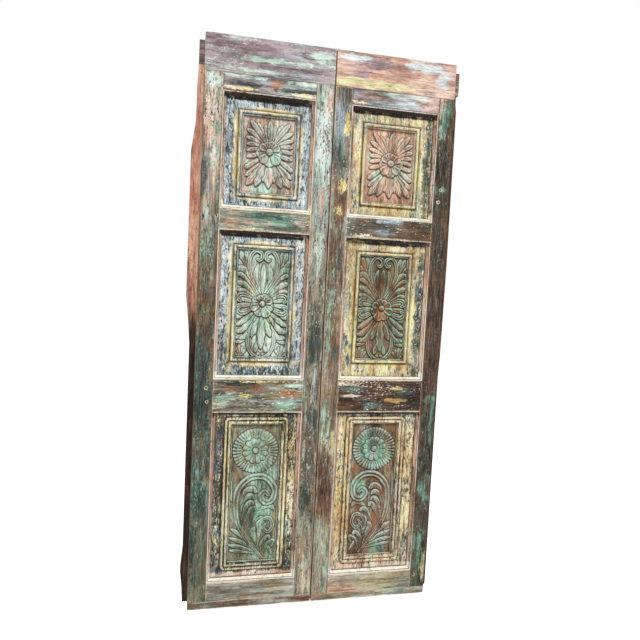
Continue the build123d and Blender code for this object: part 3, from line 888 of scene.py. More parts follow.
@dataclass(frozen=True)
class Board:
    """A sawn board with worn, uneven arrises.

    Attributes:
        arris: Least width of its worn arris, in metres.
        uneven: How many times wider it gets in places.
        step: Distance between its sections along the grain, in metres.
    """

    arris: float = 0.0013
    uneven: float = 2.6
    step: float = 0.012

    def mesh(self, low: Vector, high: Vector, grain: Grain, seed: float) -> bmesh.types.BMesh:
        """Builds the board between two corners.

        Args:
            low: Its lowest corner.
            high: Its highest corner.
            grain: Way of its grain.
            seed: Number that sets its wear.

        Returns:
            The mesh.
        """
        bm = bmesh.new()
        add_block(bm, low, high)
        edges = {"geom": bm.edges[:], "affect": "EDGES", "material": -1}
        bmesh.ops.bevel(bm, offset=self.arris, segments=2, profile=0.5, **edges)
        along = grain.value
        count = max(2, int((high[along] - low[along]) / self.step))
        normal = Vector((0.0, 0.0, 0.0))
        normal[along] = 1.0
        for index in range(1, count):
            point = low.copy()
            point[along] += (high[along] - low[along]) * index / count
            whole = bm.verts[:] + bm.edges[:] + bm.faces[:]
            bmesh.ops.bisect_plane(bm, geom=whole, plane_co=point, plane_no=normal)
        across = [axis for axis in range(3) if axis != along]
        for vert in bm.verts:
            gaps = [min(vert.co[a] - low[a], high[a] - vert.co[a]) for a in across]
            if max(gaps) > self.arris * 1.01:
                continue
            corner = [1.0 if vert.co[a] - low[a] > high[a] - vert.co[a] else 0.0 for a in across]
            key = Vector((vert.co[along] * 14.0 + seed, corner[0] * 5.0 + seed, corner[1] * 9.0))
            swell = max(0.0, noise.fractal(key, 0.8, 2.0, 3)) * 2.0
            for a, gap in zip(across, gaps):
                moved = gap * (1.0 + self.uneven * swell)
                nearer_low = vert.co[a] - low[a] < high[a] - vert.co[a]
                vert.co[a] = low[a] + moved if nearer_low else high[a] - moved
        for face in bm.faces:
            face.normal_update()
            face.smooth = max(abs(n) for n in face.normal) < 0.995
        return bm


@dataclass(frozen=True)
class Line:
    """One line round a lofted frame.

    Attributes:
        x0: Its left side.
        x1: Its right side.
        z0: Its foot.
        z1: Its top.
        y: Its depth.
        corner: Radius of its corners.
        rough: How uneven it is.
        dirt: Painted shade and grime in its crease above 0, wear below 0.
    """

    x0: float
    x1: float
    z0: float
    z1: float
    y: float
    corner: float = 0.0
    rough: float = 0.0
    dirt: float = 0.0

    def shrunk(
        self, inward: float, y: float, corner: float | None = None, rough: float = 0.0
    ) -> "Line":
        """The line moved inwards to another depth.

        Args:
            inward: How far it moves in.
            y: Its new depth.
            corner: Its new corner radius.
            rough: How uneven it is.

        Returns:
            The new line.
        """
        radius = self.corner if corner is None else corner
        x0, x1, z0, z1 = self.x0 + inward, self.x1 - inward, self.z0 + inward, self.z1 - inward
        return Line(x0, x1, z0, z1, y, radius, rough)

    def toward(self, other: "Line", share: float) -> "Line":
        """A line between this one and another, by a share from 0 to 1."""
        pairs = zip(astuple(self)[:-1], astuple(other)[:-1])
        return Line(*[a + (b - a) * share for a, b in pairs])

    def arc_point(self, corner: int, share: float) -> Vector:
        """A point on the arc of a corner.

        Args:
            corner: Which corner, anticlockwise from the low right.
            share: How far along its arc.

        Returns:
            The point.
        """
        r = self.corner
        x = self.x1 - r if corner in (0, 1) else self.x0 + r
        z = self.z1 - r if corner in (1, 2) else self.z0 + r
        turn = math.pi / 2 * (corner - 1 + share)
        return Vector((x + r * math.cos(turn), self.y, z + r * math.sin(turn)))


def loft_frame(bm: bmesh.types.BMesh, lines: list[Line], step: float, turns: int, seed: float) -> None:
    """Adds a closed frame that passes through a loop of lines.

    Args:
        bm: The mesh that gets it.
        lines: The lines in order; the last joins the first.
        step: Distance between points on the straight sides, in metres.
        turns: Segments in each corner.
        seed: Number that sets its unevenness.
    """
    first = lines[0]
    per_x = max(2, int((first.x1 - first.x0) / step))
    per_z = max(2, int((first.z1 - first.z0) / step))
    stations: list[tuple[int, float, bool]] = []
    for corner in range(4):
        stations += [(corner, k / turns, True) for k in range(turns)]
        sides = per_z if corner % 2 == 0 else per_x
        stations += [(corner, k / sides, False) for k in range(sides)]
    around, rows = len(stations), len(lines)
    dirt = bm.verts.layers.float.new("dirt")
    made = bmesh.ops.create_grid(bm, x_segments=around, y_segments=rows, size=1.0)["verts"]

    for vert in made:
        i = round((vert.co.x + 1) / 2 * around) % around
        j = round((vert.co.y + 1) / 2 * rows) % rows
        line = lines[j]
        corner, share, arc = stations[i]
        if arc:
            place = line.arc_point(corner, share)
        else:
            place = line.arc_point(corner, 1.0).lerp(line.arc_point((corner + 1) % 4, 0.0), share)
        if line.rough:
            key = Vector((place.x * 60.0, seed, place.z * 60.0))
            place.y += line.rough * noise.fractal(key, 0.8, 2.0, 3)
            side = line.rough * noise.fractal(key + Vector((9.0, 4.0, 2.0)), 0.8, 2.0, 2)
            place.x += side
            place.z += side
        vert.co = place
        vert[dirt] = line.dirt
    bmesh.ops.remove_doubles(bm, verts=made, dist=1e-5)


def close_normals(bm: bmesh.types.BMesh, sharp: float = 38.0) -> None:
    """Points the faces outwards and keeps the sharp edges crisp.

    Args:
        bm: The mesh.
        sharp: Angle in degrees above which an edge is sharp.
    """
    bmesh.ops.recalc_face_normals(bm, faces=bm.faces[:])
    for face in bm.faces:
        face.smooth = True
    for edge in bm.edges:
        if len(edge.link_faces) == 2 and edge.calc_face_angle(0.0) > math.radians(sharp):
            edge.smooth = False


# Carving


@dataclass(frozen=True)
class Stroke:
    """One lobe, band or petal of a carving, in millimetres from the middle of its motif.

    Attributes:
        points: The line that its middle follows, from root to tip.
        wide: Its greatest half width.
        rise: Its height above the ground.
        flutes: Number of flutes across it.
        lobes: Number of lobes along each of its margins.
        section: Its cross section.
    """

    points: tuple[tuple[float, float], ...]
    wide: float
    rise: float
    flutes: float
    lobes: int = 0
    section: Section = Section.LEAF

    def flipped(self) -> "Stroke":
        """The stroke mirrored to the other side of the motif."""
        return replace(self, points=tuple((-x, y) for x, y in self.points))

    def length(self) -> float:
        """The length of the line through its points."""
        return sum(math.dist(a, b) for a, b in zip(self.points, self.points[1:]))


def smooth_path(points: tuple[tuple[float, float], ...], count: int) -> np.ndarray:
    """Runs a smooth line through points.

    Args:
        points: The points.
        count: Number of samples.

    Returns:
        The samples, one row each.
    """
    p = np.array(points, float)
    p = np.vstack([2 * p[0] - p[1], p, 2 * p[-1] - p[-2]])
    runs = len(p) - 3
    t = np.linspace(0, runs - 1e-6, count)
    i = t.astype(int)
    u = (t - i)[:, None]
    a, b, c, d = p[i], p[i + 1], p[i + 2], p[i + 3]
    bend, twist = (2 * a - 5 * b + 4 * c - d) * u**2, (3 * b - a - 3 * c + d) * u**3
    return 0.5 * (2 * b + (c - a) * u + bend + twist)


def rounded(t: np.ndarray, low: float, high: float) -> np.ndarray:
    """Eases values from 0 at the low bound to 1 at the high one."""
    s = np.clip((t - low) / (high - low), 0, 1)
    return s * s * (3 - 2 * s)


class Relief:
    """A carved surface as heights over a rectangle, in millimetres."""

    def __init__(self, width: float, height: float, step: float, origin: tuple[float, float]) -> None:
        """Lays out the rectangle.

        Args:
            width: Its width.
            height: Its height.
            step: Distance between points.
            origin: Where its middle lies, seen from the middle of the motif.
        """
        self.columns = int(round(width / step))
        self.rows = int(round(height / step))
        self.width = width
        self.height = height
        x = np.linspace(-width / 2, width / 2, self.columns + 1) + origin[0]
        y = np.linspace(-height / 2, height / 2, self.rows + 1) + origin[1]
        self.x, self.y = np.meshgrid(x, y)
        self.h = np.zeros_like(self.x)

    def cut(self, stroke: Stroke) -> None:
        """Carves a stroke over what is there.

        Args:
            stroke: The stroke.
        """
        path = smooth_path(stroke.points, 24 + int(stroke.length()))
        margin = stroke.wide * 1.4 + 2
        inside = (
            (self.x > path[:, 0].min() - margin) & (self.x < path[:, 0].max() + margin)
            & (self.y > path[:, 1].min() - margin) & (self.y < path[:, 1].max() + margin)
        )
        if not inside.any():
            return
        px, py = self.x[inside], self.y[inside]
        dx = px[:, None] - path[None, :, 0]
        dy = py[:, None] - path[None, :, 1]
        away = dx * dx + dy * dy
        nearest = away.argmin(1)
        gap = np.sqrt(away[np.arange(len(px)), nearest])
        s = nearest / (len(path) - 1)
        way = np.gradient(path, axis=0)[nearest]
        picked = np.arange(len(px))
        sign = np.sign(way[:, 0] * dy[picked, nearest] - way[:, 1] * dx[picked, nearest])
        if stroke.section is Section.BAND:
            wide = stroke.wide * (0.45 + 0.55 * rounded(s, 0, 0.35)) * (1 - 0.35 * rounded(s, 0.8, 1.0))
        else:
            belly = 0.62 if stroke.section is Section.LEAF else 0.66
            tip = np.sqrt(np.clip(1 - (np.clip(s - belly, 0, 1) / (1.002 - belly)) ** 2, 0, 1))
            wide = stroke.wide * (0.34 + 0.66 * rounded(s, 0, belly)) * tip
            if stroke.lobes:
                wide = wide * (0.8 + 0.28 * np.abs(np.sin(math.pi * stroke.lobes * s)))
        t = gap / np.maximum(wide, 0.3)
        held = t < 1
        across = sign * t
        lift = 1.3 * stroke.rise * (0.34 + 0.66 * rounded(s, 0, 0.62))
        lift = lift * (1 - 0.12 * rounded(s, 0.88, 1.0))
        if stroke.section is Section.LEAF:
            body = 0.42 + 0.58 * np.sqrt(np.clip(1 - t**2, 0, 1))
            flute = (0.5 + 0.5 * np.cos(2 * math.pi * stroke.flutes * across)) ** 2
            body = body - 0.2 * flute * (1 - t**2)
            if stroke.lobes:
                notch = np.abs(np.cos(math.pi * stroke.lobes * (s + 0.12 * t))) ** 3
                body = body - 0.22 * notch * rounded(t, 0.2, 0.9)
        elif stroke.section is Section.BAND:
            swell = 0.22 * np.cos(2 * math.pi * (stroke.flutes * t - 0.55)) * (1 - t**6)
            body = 0.78 + swell - 0.25 * t**6
        else:
            body = 0.6 + 0.4 * rounded(t, 0.1, 0.75) - 0.4 * rounded(t, 0.82, 1.0)
            body = body + 0.16 * rounded(s, 0.3, 0.9)
            body = body + 0.05 * np.cos(2 * math.pi * stroke.flutes * across)
        height = self.h[inside]
        moat = np.clip(1 - (gap - wide) / 3.4, 0, 1) * (t >= 1)
        height = np.maximum(height - 2.7 * moat, 0.0)
        self.h[inside] = np.where(held, np.maximum(lift * body, height * 0.35), height)

    def cut_all(self, strokes: list[Stroke], mirrored: bool = True) -> None:
        """Carves several strokes.

        Args:
            strokes: The strokes, lowest first.
            mirrored: Whether each is also carved on the other side.
        """
        for stroke in strokes:
            self.cut(stroke)
            if mirrored and max(abs(x) for x, _ in stroke.points) > 1.5:
                self.cut(stroke.flipped())

    def flower(self, petals: int, reach: float, boss: float, rise: float) -> None:
        """Carves a flower at the middle of the motif.

        Args:
            petals: Number of petals.
            reach: Its radius.
            boss: Radius of its button.
            rise: Its height.
        """
        for k in list(range(0, petals, 2)) + list(range(1, petals, 2)):
            turn = 2 * math.pi * (k + 0.5) / petals
            far = reach * (1.0 - 0.17 * math.cos(turn) + 0.05 * math.sin(3 * turn))
            line = tuple((math.sin(turn) * r, math.cos(turn) * r) for r in (boss * 0.6, far * 0.6, far))
            self.cut(Stroke(line, far * 0.37, rise - 1.6 + 0.7 * (k % 2), 1.5, 0, Section.PETAL))
        self.button(0.0, 0.0, boss, rise * 0.7, 10.6)

    def button(self, x: float, y: float, radius: float, base: float, top: float) -> None:
        """Carves a round button in a sunk ring.

        Args:
            x: Its middle, across.
            y: Its middle, up.
            radius: Its radius.
            base: Height at its foot.
            top: Height at its crown.
        """
        gap = np.hypot(self.x - x, self.y - y)
        ring = np.clip(1 - np.abs(gap - radius - 1.4) / 2.4, 0, 1)
        self.h = self.h - 3.2 * ring * (gap >= radius)
        dome = base + (top - base) * np.sqrt(np.clip(1 - (gap / radius) ** 2, 0, 1))
        self.h = np.where(gap < radius, dome, np.maximum(self.h, 0))

    def rosette(self, x: float, y: float, radius: float) -> None:
        """Carves a ribbed rosette with an inner flower.

        Args:
            x: Its middle, across.
            y: Its middle, up.
            radius: Its outer radius.
        """
        gap = np.hypot(self.x - x, self.y - y)
        turn = np.arctan2(self.y - y, self.x - x)
        outer = radius * (0.955 + 0.045 * np.abs(np.sin(20 * turn + 0.3 * np.sin(3 * turn))))
        inner = radius * 0.56 * (0.88 + 0.14 * np.abs(np.sin(6 * turn)))
        band = np.clip((gap - inner) / (outer - inner), 0, 1)
        ribs = 0.5 + 0.5 * np.cos(40 * turn + 0.6 * np.sin(3 * turn))
        ruff = 2.6 + 5.2 * rounded(band, 0.05, 0.75) - 1.4 * rounded(band, 0.8, 1.0)
        ruff = ruff - 2.6 * ribs * rounded(band, 0.1, 0.4)
        moat = 2.2 * np.clip(1 - (gap - outer) / 3, 0, 1)
        self.h = np.where(gap < outer, ruff, np.maximum(self.h - moat, 0))
        share = gap / inner
        petal = 2.6 + 6.6 * rounded(share, 0.26, 0.86) - 1.2 * rounded(share, 0.93, 1.0)
        petal = petal - 2.8 * np.abs(np.cos(6 * turn)) ** 5 * rounded(share, 0.4, 0.6)
        petal = petal - 1.3 * np.abs(np.cos(18 * turn)) * rounded(share, 0.3, 0.5)
        self.h = np.where(gap < inner, petal, self.h - 2.6 * np.exp(-(((gap - inner) / 2.2) ** 2)))
        self.button(x, y, radius * 0.13, 4.4, 10.8)

    def border(self, wide: float, rise: float) -> None:
        """Leaves a narrow fillet round the edge.

        Args:
            wide: Its width.
            rise: Its height.
        """
        x = self.width / 2 - np.abs(self.x - self.x.mean())
        y = self.height / 2 - np.abs(self.y - self.y.mean())
        edge = np.minimum(x, y)
        inside = np.where(edge < wide + 1.6, np.minimum(self.h, 1.0), self.h)
        self.h = np.where(edge < wide, rise, inside)

    def weather(self, seed: int) -> None:
        """Softens the cuts and leaves the gouge's marks.

        Args:
            seed: Number that sets the marks.
        """
        rng = np.random.default_rng(seed)
        marks = rng.standard_normal(self.h.shape)
        for _ in range(5):
            marks = blurred(marks)
        self.h = np.clip(0.35 * self.h + 0.65 * blurred(self.h) + marks * 0.9, 0, RELIEF_RISE)

    def masks(self) -> tuple[np.ndarray, np.ndarray]:
        """Finds the crests and the hollows, with painted light from above: slopes that face up add painted
        highlight to the crests, and ground just under a raised form adds painted shadow to the hollows.

        Returns:
            Their strengths from 0 to 1.
        """
        wide = self.h.copy()
        for _ in range(7):
            wide = blurred(wide)
        near = self.h.copy()
        for _ in range(2):
            near = blurred(near)
        shape = 0.6 * (self.h - wide) + 0.9 * (self.h - near)
        # Heights three rows above: ground lying under a raised form becomes painted shadow, and slopes that
        # face up become painted highlight.
        over = np.roll(near, -3, axis=0)
        over[-3:] = near[-3:]
        slope = near - over
        crest = np.clip(shape / 1.1, 0, 1) * 0.7 + np.clip(slope / 2.4, 0, 1) * 0.6
        hollow = np.clip((-shape - 0.1) / 1.1, 0, 1) + np.clip((-slope - 0.4) / 3.0, 0, 1) * 0.8
        return np.clip(crest, 0, 1), np.clip(hollow, 0, 1)


def blurred(field_in: np.ndarray) -> np.ndarray:
    """Blurs a field by one step.

    Args:
        field_in: The field.

    Returns:
        The blurred field.
    """
    p = np.pad(field_in, 1, mode="edge")
    rows = (p[:-2] + 2 * p[1:-1] + p[2:]) / 4
    return (rows[:, :-2] + 2 * rows[:, 1:-1] + rows[:, 2:]) / 4


class Motif(Enum):
    """The three carvings of a leaf."""

    UPPER = "upper"
    MIDDLE = "middle"
    LOWER = "lower"


UPPER_LEAVES = [Stroke(*row) for row in (
    (((10, 6), (48, 8), (82, 0)), 8, 4.2, 1.0),
    (((12, -4), (50, -14), (82, -22)), 8, 4.6, 1.0),
    (((12, 14), (48, 24), (82, 22)), 9, 5.0, 1.0),
    (((12, 20), (50, 38), (84, 46)), 9, 5.4, 1.0),
    (((12, -14), (46, -34), (74, -54), (84, -50)), 11, 5.8, 1.5, 3),
    (((10, -18), (44, -58), (82, -88)), 11, 5.6, 1.0),
    (((10, 22), (44, 52), (82, 74)), 10, 5.8, 1.0),
    (((8, 24), (28, 64), (44, 98)), 9, 5.8, 1.0),
    (((6, 24), (12, 60), (18, 94)), 8, 5.4, 1.0),
    (((8, 22), (40, 66), (70, 104)), 10, 6.4, 1.0),
    (((4, -20), (12, -62), (20, -104)), 12, 5.6, 1.0),
    (((10, -20), (44, -76), (78, -120)), 14, 6.6, 1.5, 3),
    (((8, -20), (30, -78), (46, -122)), 13, 7.0, 1.5, 3),
    (((0, 20), (0, 60), (-1, 108)), 11, 6.8, 1.0),
    (((0, -20), (0, -70), (0, -126)), 15, 7.4, 1.5, 3),
)]

MIDDLE_LEAVES = [Stroke(*row) for row in (
    (((60, 120), (72, 152), (84, 186)), 10, 4.4, 1.5),
    (((54, 124), (60, 156), (66, 188)), 8, 4.0, 1.0),
    (((60, 112), (80, 136), (93, 156)), 8, 3.8, 1.0),
    (((12, 6), (54, 12), (92, 18)), 8, 4.0, 1.0),
    (((12, 0), (56, -6), (92, -8)), 9, 4.2, 1.0),
    (((14, 14), (54, 40), (92, 48)), 10, 4.8, 1.5),
    (((14, 20), (58, 62), (93, 78)), 11, 5.4, 2.0, 4),
    (((12, 24), (56, 86), (80, 104), (93, 100)), 11, 6.0, 2.0, 5),
    (((10, 26), (46, 92), (68, 120), (84, 124), (92, 114)), 11, 6.6, 2.0),
    (((12, -8), (56, -24), (84, -46), (93, -38)), 10, 5.0, 1.5),
    (((72, -192), (62, -176), (52, -166)), 6, 4.0, 1.0),
    (((74, -192), (70, -172), (64, -154)), 6, 4.4, 1.0),
    (((76, -192), (78, -170), (78, -148)), 6, 4.8, 1.0),
    (((78, -192), (86, -172), (91, -154)), 6, 4.4, 1.0),
    (((80, -192), (88, -184), (94, -176)), 5, 4.0, 1.0),
    (((44, -112), (68, -120), (93, -124)), 8, 4.2, 1.5),
    (((46, -116), (68, -134), (93, -142)), 8, 4.4, 1.5),
    (((10, -14), (52, -54), (92, -80)), 11, 5.6, 2.0, 4),
    (((10, -18), (44, -68), (70, -96), (92, -102)), 11, 6.0, 2.0, 5),
    (((8, -22), (34, -84), (54, -116), (80, -128)), 10, 5.6, 2.0),
    (((2, 34), (22, 70), (27, 104), (20, 142)), 9, 4.8, 1.5),
    (((0, 34), (0, 80), (0, 144)), 10, 5.6, 1.5),
    (
        ((12, -46), (34, -84), (48, -126), (42, -164), (26, -186), (10, -190)), 6, 5.6, 1.0, 0,
        Section.BAND,
    ),
    (((4, -40), (20, -78), (34, -120)), 11, 5.8, 1.5, 3),
    (((4, -120), (14, -150), (20, -176)), 8, 4.2, 1.0),
    (((0, -26), (0, -90), (0, -164)), 15, 7.2, 2.0, 4),
    (((26, 12), (58, 30), (80, 30), (88, 16), (78, 8)), 8, 7.0, 1.0, 0, Section.BAND),
    (((26, -12), (58, -32), (80, -34), (88, -20), (78, -12)), 8, 7.0, 1.0, 0, Section.BAND),
    (
        ((8, 40), (38, 88), (52, 128), (48, 166), (30, 189), (10, 182), (6, 166), (16, 156), (24, 160)),
        7, 7.0, 1.0, 0, Section.BAND,
    ),
)]

LOWER_LEAVES = [Stroke(*row) for row in (
    (((38, -236), (-30, -222), (-84, -216)), 7, 3.8, 1.0),
    (((36, -232), (-30, -208), (-88, -194)), 8, 4.2, 1.0),
    (((32, -228), (-30, -190), (-86, -166)), 8, 4.6, 1.0),
    (((24, -220), (-30, -168), (-80, -132)), 9, 5.0, 1.0),
    (((-4, -186), (-40, -142), (-68, -96)), 9, 4.2, 1.5),
    (((44, -238), (56, -206), (78, -240)), 6, 3.6, 1.0),
    (((40, -238), (58, -196), (78, -186), (74, -208)), 8, 4.8, 1.5),
    (((36, -232), (34, -196), (56, -168), (68, -178)), 8, 5.2, 1.5),
    (((26, -226), (16, -186), (0, -150), (10, -128)), 11, 5.0, 2.0, 4),
    (((20, -206), (26, -150), (22, -118), (36, -106)), 10, 4.8, 1.5),
    (
        ((26, -150), (30, -108), (62, -98), (74, -128), (56, -150), (40, -134), (48, -120)), 7, 5.6,
        1.0, 0, Section.BAND,
    ),
    (((14, -80), (36, -58), (62, -50), (78, -66)), 9, 4.6, 1.5),
    (((-6, -120), (14, -86), (30, -76), (44, -86)), 9, 4.6, 1.5),
    (((-34, -120), (-14, -76), (-2, -58), (10, -66)), 10, 5.0, 2.0),
    (((-40, -100), (-30, -56), (-12, -36), (2, -44)), 10, 5.4, 2.0),
    (((-46, -70), (-36, -26), (-14, -10), (2, -20)), 10, 5.4, 2.0),
    (((-46, -40), (-32, 4), (-8, 16), (12, 2)), 11, 5.6, 2.0),
    (((70, 40), (84, 14), (86, -20), (82, -50)), 6, 4.2, 1.0, 0, Section.BAND),
    (((-80, 60), (-84, 20), (-82, -30)), 5, 3.6, 1.0),
    (
        (
            (38, -248), (-22, -176), (-56, -110), (-66, -36), (-54, 20), (-14, 58), (40, 58), (76, 16),
            (70, -26), (44, -36), (26, -14), (40, 4), (52, -6),
        ),
        12, 7.0, 1.0, 0, Section.BAND,
    ),
)]


@dataclass(frozen=True)
class Carving:
    """A carved insert.

    Attributes:
        motif: What is carved on it.
        step: Distance between its points, in millimetres.
        ground: Depth of its ground behind its highest point, in metres.
    """

    motif: Motif
    step: float = 1.25
    ground: float = RELIEF_RISE * MM

    def mesh(self, low: Vector, high: Vector, side: Side, seed: int) -> bmesh.types.BMesh:
        """Carves the insert between two corners.

        Args:
            low: Its lowest corner.
            high: Its highest corner.
            side: The leaf that it is on.
            seed: Number that sets its tool marks.

        Returns:
            The mesh, with crest, hollow and rise on its vertices.
        """
        width, height = (high.x - low.x) / MM, (high.z - low.z) / MM
        centre = (4.0 * side.value, -12.0) if self.motif is Motif.UPPER else (0.0, 0.0)
        relief = Relief(width, height, self.step, centre)
        if self.motif is Motif.UPPER:
            relief.cut_all(UPPER_LEAVES)
            relief.flower(9, 44.0, 12.0, 8.6)
        elif self.motif is Motif.MIDDLE:
            relief.cut_all(MIDDLE_LEAVES)
            relief.flower(8, 42.0, 10.5, 8.2)
            for x in (7.5, -7.5):
                relief.button(x, -181.0, 5.5, 3.4, 7.6)
        else:
            relief.cut_all(LOWER_LEAVES, mirrored=False)
            relief.rosette(0.0, 160.0, 84.0)
        relief.border(3.2, 3.4)
        relief.weather(seed)
        crest, hollow = relief.masks()
        heights = relief.h
        if side is Side.RIGHT:
            heights, crest, hollow = heights[:, ::-1], crest[:, ::-1], hollow[:, ::-1]
        bm = bmesh.new()
        layers = [bm.verts.layers.float.new(name) for name in ("crest", "hollow", "rise")]
        cells = {"x_segments": relief.columns, "y_segments": relief.rows, "size": 1.0}
        made = bmesh.ops.create_grid(bm, **cells)["verts"]
        base = low.y + self.ground
        for vert in made:
            i = round((vert.co.x + 1) / 2 * relief.columns)
            j = round((vert.co.y + 1) / 2 * relief.rows)
            rise = heights[j, i]
            x = low.x + (high.x - low.x) * i / relief.columns
            z = low.z + (high.z - low.z) * j / relief.rows
            for layer, value in zip(layers, (crest[j, i], hollow[j, i], rise / RELIEF_RISE)):
                vert[layer] = value
            vert.co = (x, base - rise * MM, z)
        for face in bm.faces:
            face.smooth = True
        rim = [edge for edge in bm.edges if edge.is_boundary]
        wall = bmesh.ops.extrude_edge_only(bm, edges=rim)["geom"]
        for vert in (item for item in wall if isinstance(item, bmesh.types.BMVert)):
            vert.co.y = high.y
        bmesh.ops.holes_fill(bm, edges=[edge for edge in bm.edges if edge.is_boundary], sides=0)
        bmesh.ops.recalc_face_normals(bm, faces=bm.faces[:])
        return bm


# Sub-assemblies

# Points across a bead: inwards and, above 0, back from the field's face, in millimetres.
BEAD_SHAPE = (
    (0.0, 0.0), (0.5, 1.3), (1.5, 1.0), (1.8, -3.2), (3.0, -6.4), (5.2, -7.9),
    (8.0, -7.9), (10.4, -6.6), (11.9, -3.6), (12.3, -0.6), (13.3, -0.4),
)
# Points across a moulding: inwards, back from its face (none where it ends on the field) and dirt: painted
# shade with grime in creases above 0, wear below 0.
MOULD_SHAPE = (
    (0.0, None, 0.0), (0.0, 0.6, 0.0), (0.5, 0.0, -1.0), (3.2, 0.0, -1.0), (3.8, 0.7, 0.0),
    (4.1, 2.6, 1.0), (5.0, 3.0, 1.0), (6.4, 3.4, 0.0), (8.2, 5.2, 0.0), (9.6, 8.2, 0.0),
    (10.8, 10.4, 0.0), (12.3, 11.4, 0.0), (13.0, 12.2, 1.0), (13.2, None, 1.0),
)
BOARD_SLOTS = {
    "board": "board_paint", "stile": "stile_paint", "rail": "rail_paint", "strip": "strip_wood",
}


@dataclass
class Panel:
    """One panel of a leaf: its field with beads, its moulding and its carving.

    Attributes:
        motif: Its carving.
        beads: Number of beads round the carving.
        corner: Radius of the outer bead's corners, in metres.
        field_finish: Paint of the field.
        mould_finish: Paint of the moulding.
        carved_finish: Paint of the carving.
        bead_row: Width of one bead with the gap after it, in metres.
    """

    motif: Motif
    beads: int
    corner: float
    field_finish: AgedPaint
    mould_finish: AgedPaint
    carved_finish: CarvedPaint
    bead_row: float = 0.014

    def bead_lines(self, inner: Line, front: float) -> list[Line]:
        """The lines of the beads, from the outside in.

        Args:
            inner: The pocket's rectangle.
            front: Depth of the field's face.

        Returns:
            The lines.
        """
        lines: list[Line] = []
        for index in range(self.beads):
            start = self.bead_row * (self.beads - index)
            radius = self.corner if index == 0 else 0.004
            for inward, out in BEAD_SHAPE:
                rough = 0.0009 if out < -3.0 else 0.0002
                corner = max(radius - inward * MM, 0.0008)
                line = inner.shrunk(inward * MM - start, front + out * MM, corner, rough)
                # Painted shade with grime in the grooves at both sides of each bead, wear on its crest.
                lines.append(replace(line, dirt=1.0 if out > -1.0 else -1.0 if out < -7.0 else 0.0))
        return lines

    def build(self, side: Side, seed: float) -> None:
        """Builds the panel's pieces on one leaf.

        Args:
            side: The leaf.
            seed: Number that sets its patterns.
        """
        stem = f"{side.word}_{self.motif.value}"
        body = f"{side.word}_leaf"
        board_low, board_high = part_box(f"{stem}_panel")
        mould_low, mould_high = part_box(f"{stem}_moulding")
        cut_low, cut_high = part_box(f"{stem}_carving")
        front = board_high.y - FIELD_THICK
        back = board_high.y - FIELD_BACK
        pocket = Line(cut_low.x, cut_high.x, cut_low.z, cut_high.z, front)
        opening = Line(mould_low.x, mould_high.x, mould_low.z, mould_high.z, mould_low.y)
        outer = opening.shrunk(-FIELD_LAP, front)
        beads = self.bead_lines(pocket, front)
        lines = [replace(outer.toward(beads[0], k / 7), rough=0.0003) for k in range(7)] + beads
        lines += [pocket.shrunk(-0.0001, y, 0.0) for y in (front, back)] + [replace(outer, y=back)]
        bm = bmesh.new()
        loft_frame(bm, lines, LOFT_STEP, 5 if self.corner > 0.005 else 2, seed)
        behind = Vector((outer.x0, back, outer.z0)), Vector((outer.x1, board_high.y, outer.z1))
        add_block(bm, *behind)
        close_normals(bm)
        paint = self.field_finish.material(f"{stem}_field_paint", board_low, board_high, seed)
        finish_piece(f"{stem}_field", bm, paint, body, "field_paint", f"{stem}_panel")

        lines = []
        for inward, drop, dirt in MOULD_SHAPE:
            depth = front + 0.0002 if drop is None else mould_low.y + drop * MM
            line = opening.shrunk(inward * MM, depth, 0.0, 0.0007 if 0 < inward < 13.1 else 0.0)
            lines.append(replace(line, dirt=dirt))
        bm = bmesh.new()
        loft_frame(bm, lines, LOFT_STEP, 1, seed + 2)
        close_normals(bm, 44.0)
        paint = self.mould_finish.material(f"{stem}_moulding_paint", mould_low, mould_high, seed + 1)
        finish_piece(f"{stem}_stuck_moulding", bm, paint, body, "moulding_paint", f"{stem}_moulding")

        bm = Carving(self.motif).mesh(cut_low, cut_high, side, int(seed * 7) + 1)
        paint = self.carved_finish.material(f"{stem}_carving_paint", cut_low.y, seed)
        finish_piece(f"{stem}_relief", bm, paint, body, "carving_paint", f"{stem}_carving")


@dataclass
class Leaf:
    """One door leaf: its boards and its three panels.

    Attributes:
        side: Which leaf it is.
        boards: Finishes of its boards by node ending.
        panels: Its panels.
    """

    side: Side
    boards: dict[str, AgedPaint]
    panels: list[Panel] = field(default_factory=list)

    def build(self) -> None:
        """Builds the leaf."""
        word = self.side.word
        for index, (ending, finish) in enumerate(self.boards.items()):
            node = f"{word}_{ending}"
            low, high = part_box(node)
            low, high = self.visible(ending, low, high)
            # Odd steps, so that no two boards wear alike.
            seed = 11.3 * self.side.value + 2.9 * index + 40
            bm = Board().mesh(low, high, finish.grain, seed)
            paint = finish.material(f"{node}_paint", low, high, seed)
            slot = BOARD_SLOTS[ending.split("_")[-1]]
            finish_piece(f"{node}_worn", bm, paint, f"{word}_leaf", slot, node)
        for index, panel in enumerate(self.panels):
            panel.build(self.side, 17.7 + 5.3 * index + 2.1 * self.side.value)

    def visible(self, ending: str, low: Vector, high: Vector) -> tuple[Vector, Vector]:
        """Trims a rail's tenons from its corners.

        Args:
            ending: The board's name without its side.
            low: Lowest corner of its node.
            high: Highest corner of its node.

        Returns:
            Both corners of what shows.
        """
        if ending.endswith("rail"):
            mould_low, mould_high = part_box(f"{self.side.word}_upper_moulding")
            low.x, high.x = mould_low.x, mould_high.x
        return low, high


# Colours of this pair

T = Tint  # short, for the tables


def pegs(*spots: tuple[float, float]) -> tuple[Coat, Coat]:
    """Dark nail holes in pale worn rings.

    Args:
        spots: Where they are, in millimetres.

    Returns:
        The coats of the rings and of the holes.
    """
    ring, hole = 8.0, 3.6
    return (
        flecks(T.SAND, 1.3, *((x, z, ring, ring) for x, z in spots)),
        flecks(T.SOOT, 2.2, *((x, z, hole, hole) for x, z in spots)),
    )


